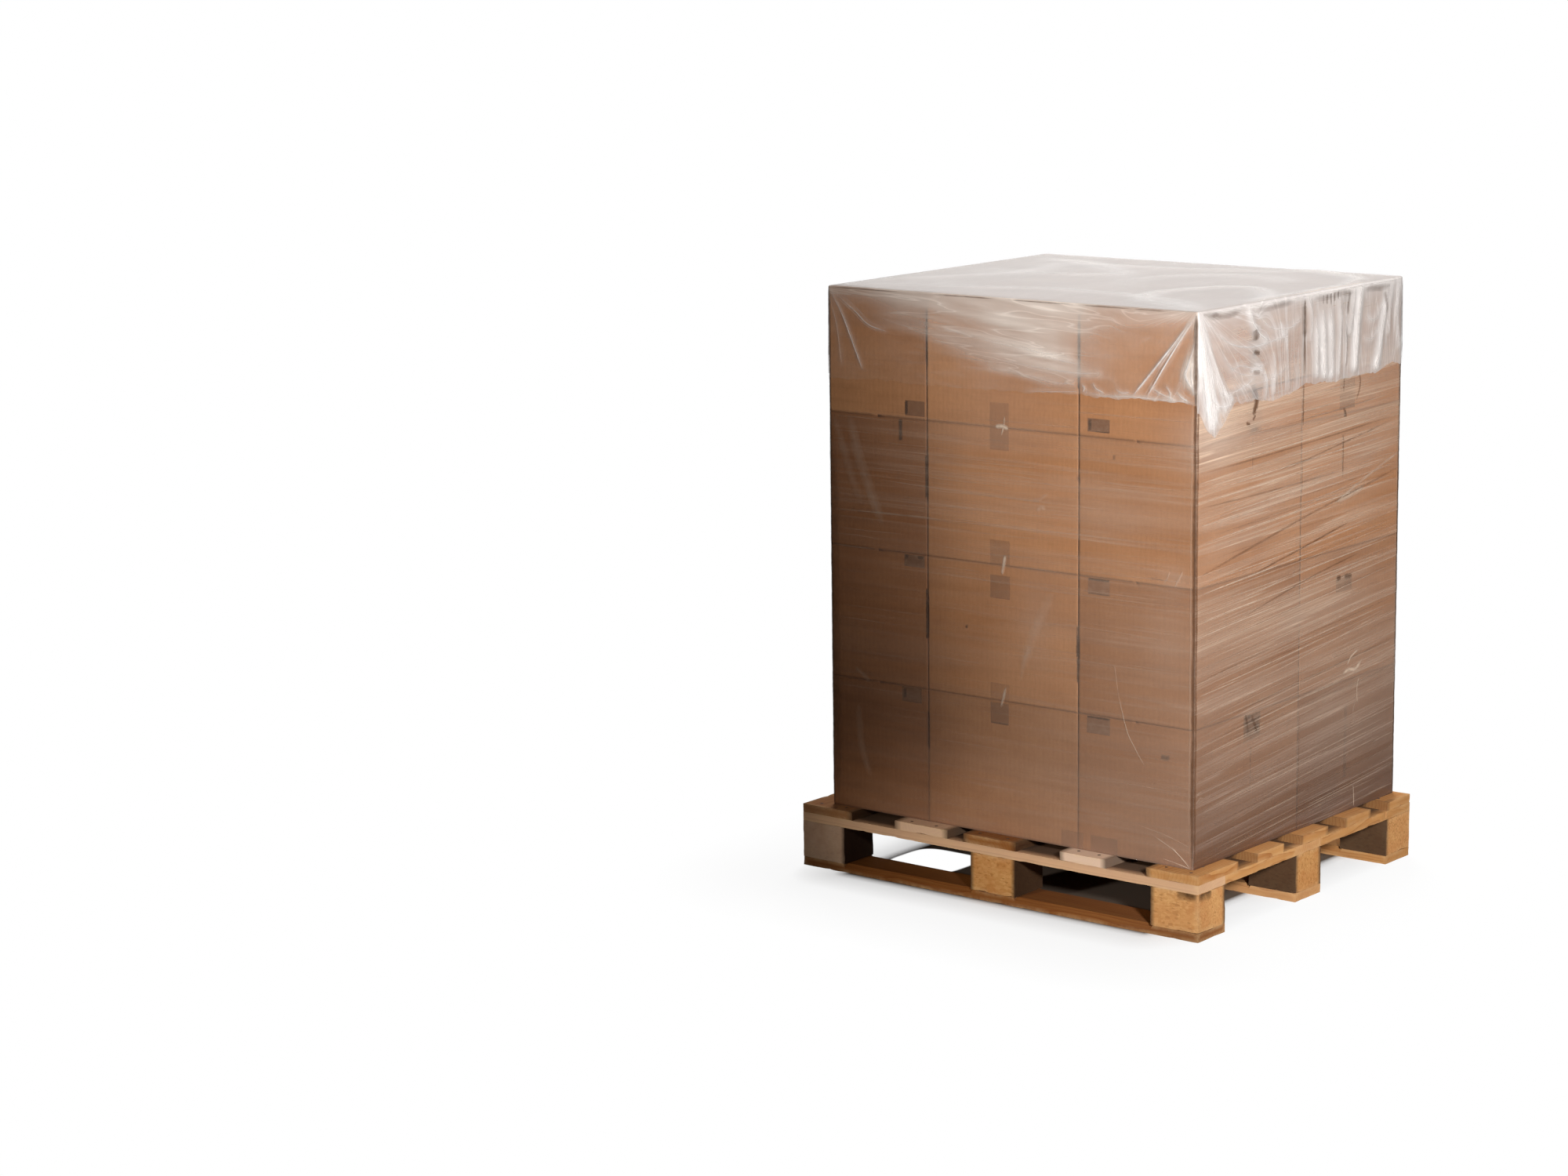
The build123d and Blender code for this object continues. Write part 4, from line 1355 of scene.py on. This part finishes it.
def top_sheet():
    """The whole sheet: the hanging edge and the laid part in one skin."""
    columns, points, haze, lay, drawn = skirt()
    count = len(columns)
    starts = np.searchsorted(columns, SHEET.starts[:4] - 1e-9)
    nx, ny = starts[1] - starts[0], starts[2] - starts[1]
    rows = np.arange(haze.size).reshape(-1, count)
    # the laid part is a grid between the front and back, left and right columns of the rim
    index = np.empty((nx + 1, ny + 1), int)
    index[1:-1, 1:-1] = haze.size + np.arange((nx - 1) * (ny - 1)).reshape(nx - 1, ny - 1)
    index[:, 0] = np.arange(nx + 1)
    index[nx, :] = starts[1] + np.arange(ny + 1)
    index[:, ny] = starts[2] + nx - np.arange(nx + 1)
    index[0, :] = (starts[3] + ny - np.arange(ny + 1)) % count
    rim = points[0]
    x, y = np.meshgrid(rim[index[1:-1, 0], 0], rim[index[nx, 1:-1], 1], indexing="ij")
    lift, milk = top_field(x, y)
    laid = {
        "points": np.stack([x, y, SHEET_TOP + lift], axis=-1), "haze": milk + 0.72,
        "lay": np.stack([x + 7, y, 0 * x], axis=-1), "drawn": np.full(x.shape, 0.4),
    }
    mesh = bpy.data.meshes.new("top_sheet")
    vertices = np.concatenate([points.reshape(-1, 3), laid["points"].reshape(-1, 3)])
    mesh.from_pydata(vertices.tolist(), [], quads(np.hstack([rows, rows[:, :1]])) + quads(index))
    attributes = {
        "lay": np.concatenate([lay.reshape(-1, 3), laid["lay"].reshape(-1, 3)]),
        "haze": np.append(haze, laid["haze"]), "drawn": np.append(drawn, laid["drawn"]),
    }
    made = finish_mesh(mesh, "top_sheet_laid", sheet_material(), attributes, "top_sheet", "top_sheet")


def side_crests(crests):
    """Crests on the folds of the hanging edge, each with two finer ones beside it."""
    spin = random.Random(77)
    for fold in SIDE_FOLDS:
        for shift in (0.0, SHEET.half) if fold.bright else ():
            line = fold.line + [shift, 0]
            line[:, 0] = np.clip(line[:, 0], 0, SHEET.length)
            line[:, 1] = np.maximum(line[:, 1], hem_level(line[:, 0]))
            crest(crests, SHEET, line, fold.broad, 0.5 * MM, fold.bright, 1.0, skirt_lift, 0.8 * MM, 2)
            for _ in range(2):
                aside = line + np.array([spin.gauss(0, 5), spin.gauss(0, 3)]) * MM
                aside[:, 0] = np.clip(aside[:, 0], 0, SHEET.length)
                crest(crests, SHEET, aside, 1.2 * MM, 0.5 * MM, fold.bright * 0.5, 1.0, skirt_lift)


def top_crests(crests):
    """Soft bright bands along the broad folds of the top."""
    for fold in (f for f in TOP_FOLDS if f.bright):
        side = sideways(fold.line)
        taper = tapered(np.linspace(0, 1, len(fold.line)), 5, 5)
        rows = []
        for share in (-1, -0.5, 0, 0.5, 1):
            p = fold.line + side * share * fold.broad * 2.4
            p = np.clip(p, SHEET.low + RIM_RADIUS, SHEET.high - RIM_RADIUS)
            z = SHEET_TOP + top_field(p[:, 0], p[:, 1])[0] + 0.6 * MM
            rows.append(np.stack([p[:, 0], p[:, 1], z], axis=1))
        covers = np.stack([fold.bright * taper * k for k in (0.0, 0.3, 0.55, 0.3, 0.0)])
        crests.grid(np.stack(rows), covers, 1.0)


def shaded_crests(crests):
    """Shaded lines: the sheet's upright corners, what shows through it and the creases below its rim."""
    for corner in SHEET.starts[1:]:
        z = np.linspace(SHEET_TOP - 6 * MM, float(hem_level(corner - 5 * MM)) + 4 * MM, 40)
        line = np.stack([np.full(len(z), corner - 4 * MM), z], axis=1)
        crest(crests, SHEET, line, 12 * MM, 0.9 * MM, 0.85, 0.0, skirt_lift, 0.3 * MM, 12)
    for shift in (0.0, SHEET.half):
        for width, cover, *places in DARK_PLACES:
            line = traced(right, SHEET, places) + [shift, 0]
            crest(crests, SHEET, line, width * MM, 0.9 * MM, cover, 0.0, skirt_lift, 0.3 * MM, 8)
        for a, b in RIM_SHADOWS:
            s = np.linspace(front(SHEET, a, 0)[0], front(SHEET, b, 0)[0], 24)
            line = np.stack([s + shift, np.full(len(s), SHEET_TOP - 3.2 * MM)], axis=1)
            crest(crests, SHEET, line, 3.4 * MM, 0.2 * MM, 0.62, 0.0, None, 0.1 * MM)
        for a, b in RIM_HOLLOWS:
            s = np.linspace(right(SHEET, a, 0)[0], right(SHEET, b, 0)[0], 24)
            z = SHEET_TOP - 14 * MM - 5 * MM * value_noise(s / 0.03, 0 * s, 83)
            line = np.stack([s + shift, z], axis=1)
            crest(crests, SHEET, line, 18 * MM, 0.6 * MM, 0.34, 0.0, skirt_lift, 0.1 * MM)


def sheet_crests():
    """The bright and shaded crests of the top sheet."""
    crests = Patches()
    side_crests(crests)
    top_crests(crests)
    shaded_crests(crests)
    material = strand_material("sheet_crests", srgb(110, 84, 66), srgb(246, 240, 236))
    crests.piece("top_sheet_crests", material, "top_sheet")


# Floor, light and camera

FLOOR_SIZE = 60
FLOOR_FADE = 2.5
# Painted light: where the pale floor shows through the pallet's left front opening it glows white for the
# camera; its middle and half its size
LIT_FLOOR = (-0.35, -0.27)
LIT_FLOOR_SIZE = (0.105, 0.10)


def make_floor():
    """A white floor that keeps the object's shadow close by, with painted shadow beneath the pallet, and runs
    out into the white background.
    """
    s = Shader("floor_white", Roughness=0.9)
    s.set("Specular IOR Level", 0.1)
    glow = s.add("Emission", {"Color": (1, 1, 1, 1), "Strength": 1.0})
    seen = s.add("LightPath", {}).outputs["Is Camera Ray"]
    x, y, _ = s.parts(s.add("NewGeometry", {}).outputs["Position"])

    def past(value, limit):
        return s.math("MAXIMUM", s.math("SUBTRACT", s.math("ABSOLUTE", value), limit), 0.0)

    def from_middle(value, middle, half_size):
        return s.math("DIVIDE", s.math("SUBTRACT", value, middle), half_size)

    def powers(a, b, power):
        return s.total(s.math("POWER", a, power), s.math("POWER", b, power))

    far = s.math("SQRT", powers(past(x, PALLET_X - 0.15), past(y, PALLET_Y), 2.0))
    share = s.ramp(s.math("DIVIDE", far, FLOOR_FADE), (0.0, 0.0), (0.016, 0.62), (0.06, 0.9), (0.2, 1.0))
    # for the camera the floor under the pallet is painted dark brown: painted shadow
    plain = s.blend(s.ramp(share, (0.0, 0.0), (0.3, 1.0)), (0.16, 0.12, 0.09), (0.92, 0.92, 0.92))
    s.set("Base Color", s.blend(seen, (0.22, 0.20, 0.18), plain))
    # the floor in the left front opening glows white for the camera: painted light
    off_lit = powers(*(from_middle(*v) for v in zip((x, y), LIT_FLOOR, LIT_FLOOR_SIZE)), 4.0)
    share = s.math("MAXIMUM", share, s.ramp(off_lit, (0.0, 1.0), (0.75, 1.0), (1.0, 0.0)))
    mix = s.add("MixShader", {0: s.times(seen, share), 1: s.surface.outputs[0], 2: glow.outputs[0]})
    s.feed(s.tree.nodes["Material Output"].inputs[0], mix.outputs[0])
    bm = bmesh.new()
    bmesh.ops.create_grid(bm, x_segments=8, y_segments=8, size=FLOOR_SIZE)
    mesh = mesh_of(bm, "floor")
    mesh.materials.append(s.material)
    floor = bpy.data.objects.new("floor", mesh)
    bpy.context.scene.collection.objects.link(floor)


def make_world(strength, tint):
    """Even light from all round, seen by the camera as plain white."""
    world = bpy.data.worlds.new("studio")
    world.use_nodes = True
    bpy.context.scene.world = world
    tree = world.node_tree
    plain = tree.nodes["Background"]
    white = tree.nodes.new("ShaderNodeBackground")
    for background, colour, level in ((plain, (*tint, 1), strength), (white, (1, 1, 1, 1), 1.0)):
        background.inputs[0].default_value = colour
        background.inputs[1].default_value = level
    rays = tree.nodes.new("ShaderNodeLightPath")
    mix = tree.nodes.new("ShaderNodeMixShader")
    tree.links.new(rays.outputs["Is Camera Ray"], mix.inputs[0])
    tree.links.new(plain.outputs[0], mix.inputs[1])
    tree.links.new(white.outputs[0], mix.inputs[2])
    tree.links.new(mix.outputs[0], tree.nodes["World Output"].inputs[0])


def make_lamp(name, place, target, size, power, cone=None, blend=1.0, stretch=1.0, lean=0.0, glare=True):
    """A round soft lamp, or with a cone one whose pool of light fades out to its edge."""
    lamp = bpy.data.lights.new(name, "SPOT" if cone else "AREA")
    lamp.energy = power
    if cone:
        lamp.spot_size, lamp.spot_blend, lamp.shadow_soft_size = math.radians(cone), blend, size / 2
    else:
        lamp.shape, lamp.size = "DISK", size
    made = bpy.data.objects.new(name, lamp)
    made.location = place
    made.scale = (1.0, stretch, 1.0)
    made.visible_glossy = glare
    made.rotation_mode = "QUATERNION"
    aim = (Vector(target) - Vector(place)).to_track_quat("-Z", "Y")
    made.rotation_quaternion = aim @ Quaternion((0, 0, 1), math.radians(lean))
    bpy.context.scene.collection.objects.link(made)


def make_camera():
    """The photo's camera."""
    yaw, pitch, roll = (math.radians(a) for a in CAMERA_TURN)
    back = Vector((math.sin(yaw) * math.cos(pitch), -math.cos(yaw) * math.cos(pitch), math.sin(pitch)))
    level = Vector((math.cos(yaw), math.sin(yaw), 0))
    upright = back.cross(level)
    across = math.cos(roll) * level + math.sin(roll) * upright
    up = math.cos(roll) * upright - math.sin(roll) * level
    camera = bpy.data.cameras.new("camera")
    camera.sensor_width = SENSOR_WIDTH
    camera.lens = FOCAL_PIXELS * SENSOR_WIDTH / PHOTO_WIDTH
    camera.clip_end = 200
    made = bpy.data.objects.new("camera", camera)
    made.matrix_world = Matrix.Translation(CAMERA_PLACE) @ Matrix((across, up, back)).transposed().to_4x4()
    bpy.context.scene.collection.objects.link(made)
    bpy.context.scene.camera = made


pallet()
nail_heads()
cartons()
tape_tabs()
scuff_and_shade_marks()
block_marks()
stretch_film()
film_strands()
top_sheet()
sheet_crests()
make_floor()
make_world(0.075, (1.0, 0.92, 0.84))
make_lamp("key", (3.75, -3.3, 1.95), (0.68, -0.23, 1.06), 0.6, 1200, 22.8, 0.6, 3.3, 18)
make_lamp("pallet", (-0.6, -3.4, 1.0), (0.0, -0.5, 0.08), 0.3, 185, 12.0, 1.0, 2.2, 90, glare=False)
make_lamp("top", (0.5, 0.5, 5.0), (0.15, 0.1, 1.5), 1.6, 74)
make_lamp("back", (-2.6, 3.8, 3.0), (-0.1, 0.1, 0.8), 2.5, 210, glare=False)
make_lamp("window", (-2.9, 4.3, 2.3), (0.0, 0.0, 1.5), 3.0, 18)
make_camera()
bpy.context.scene.view_settings.view_transform = "Standard"
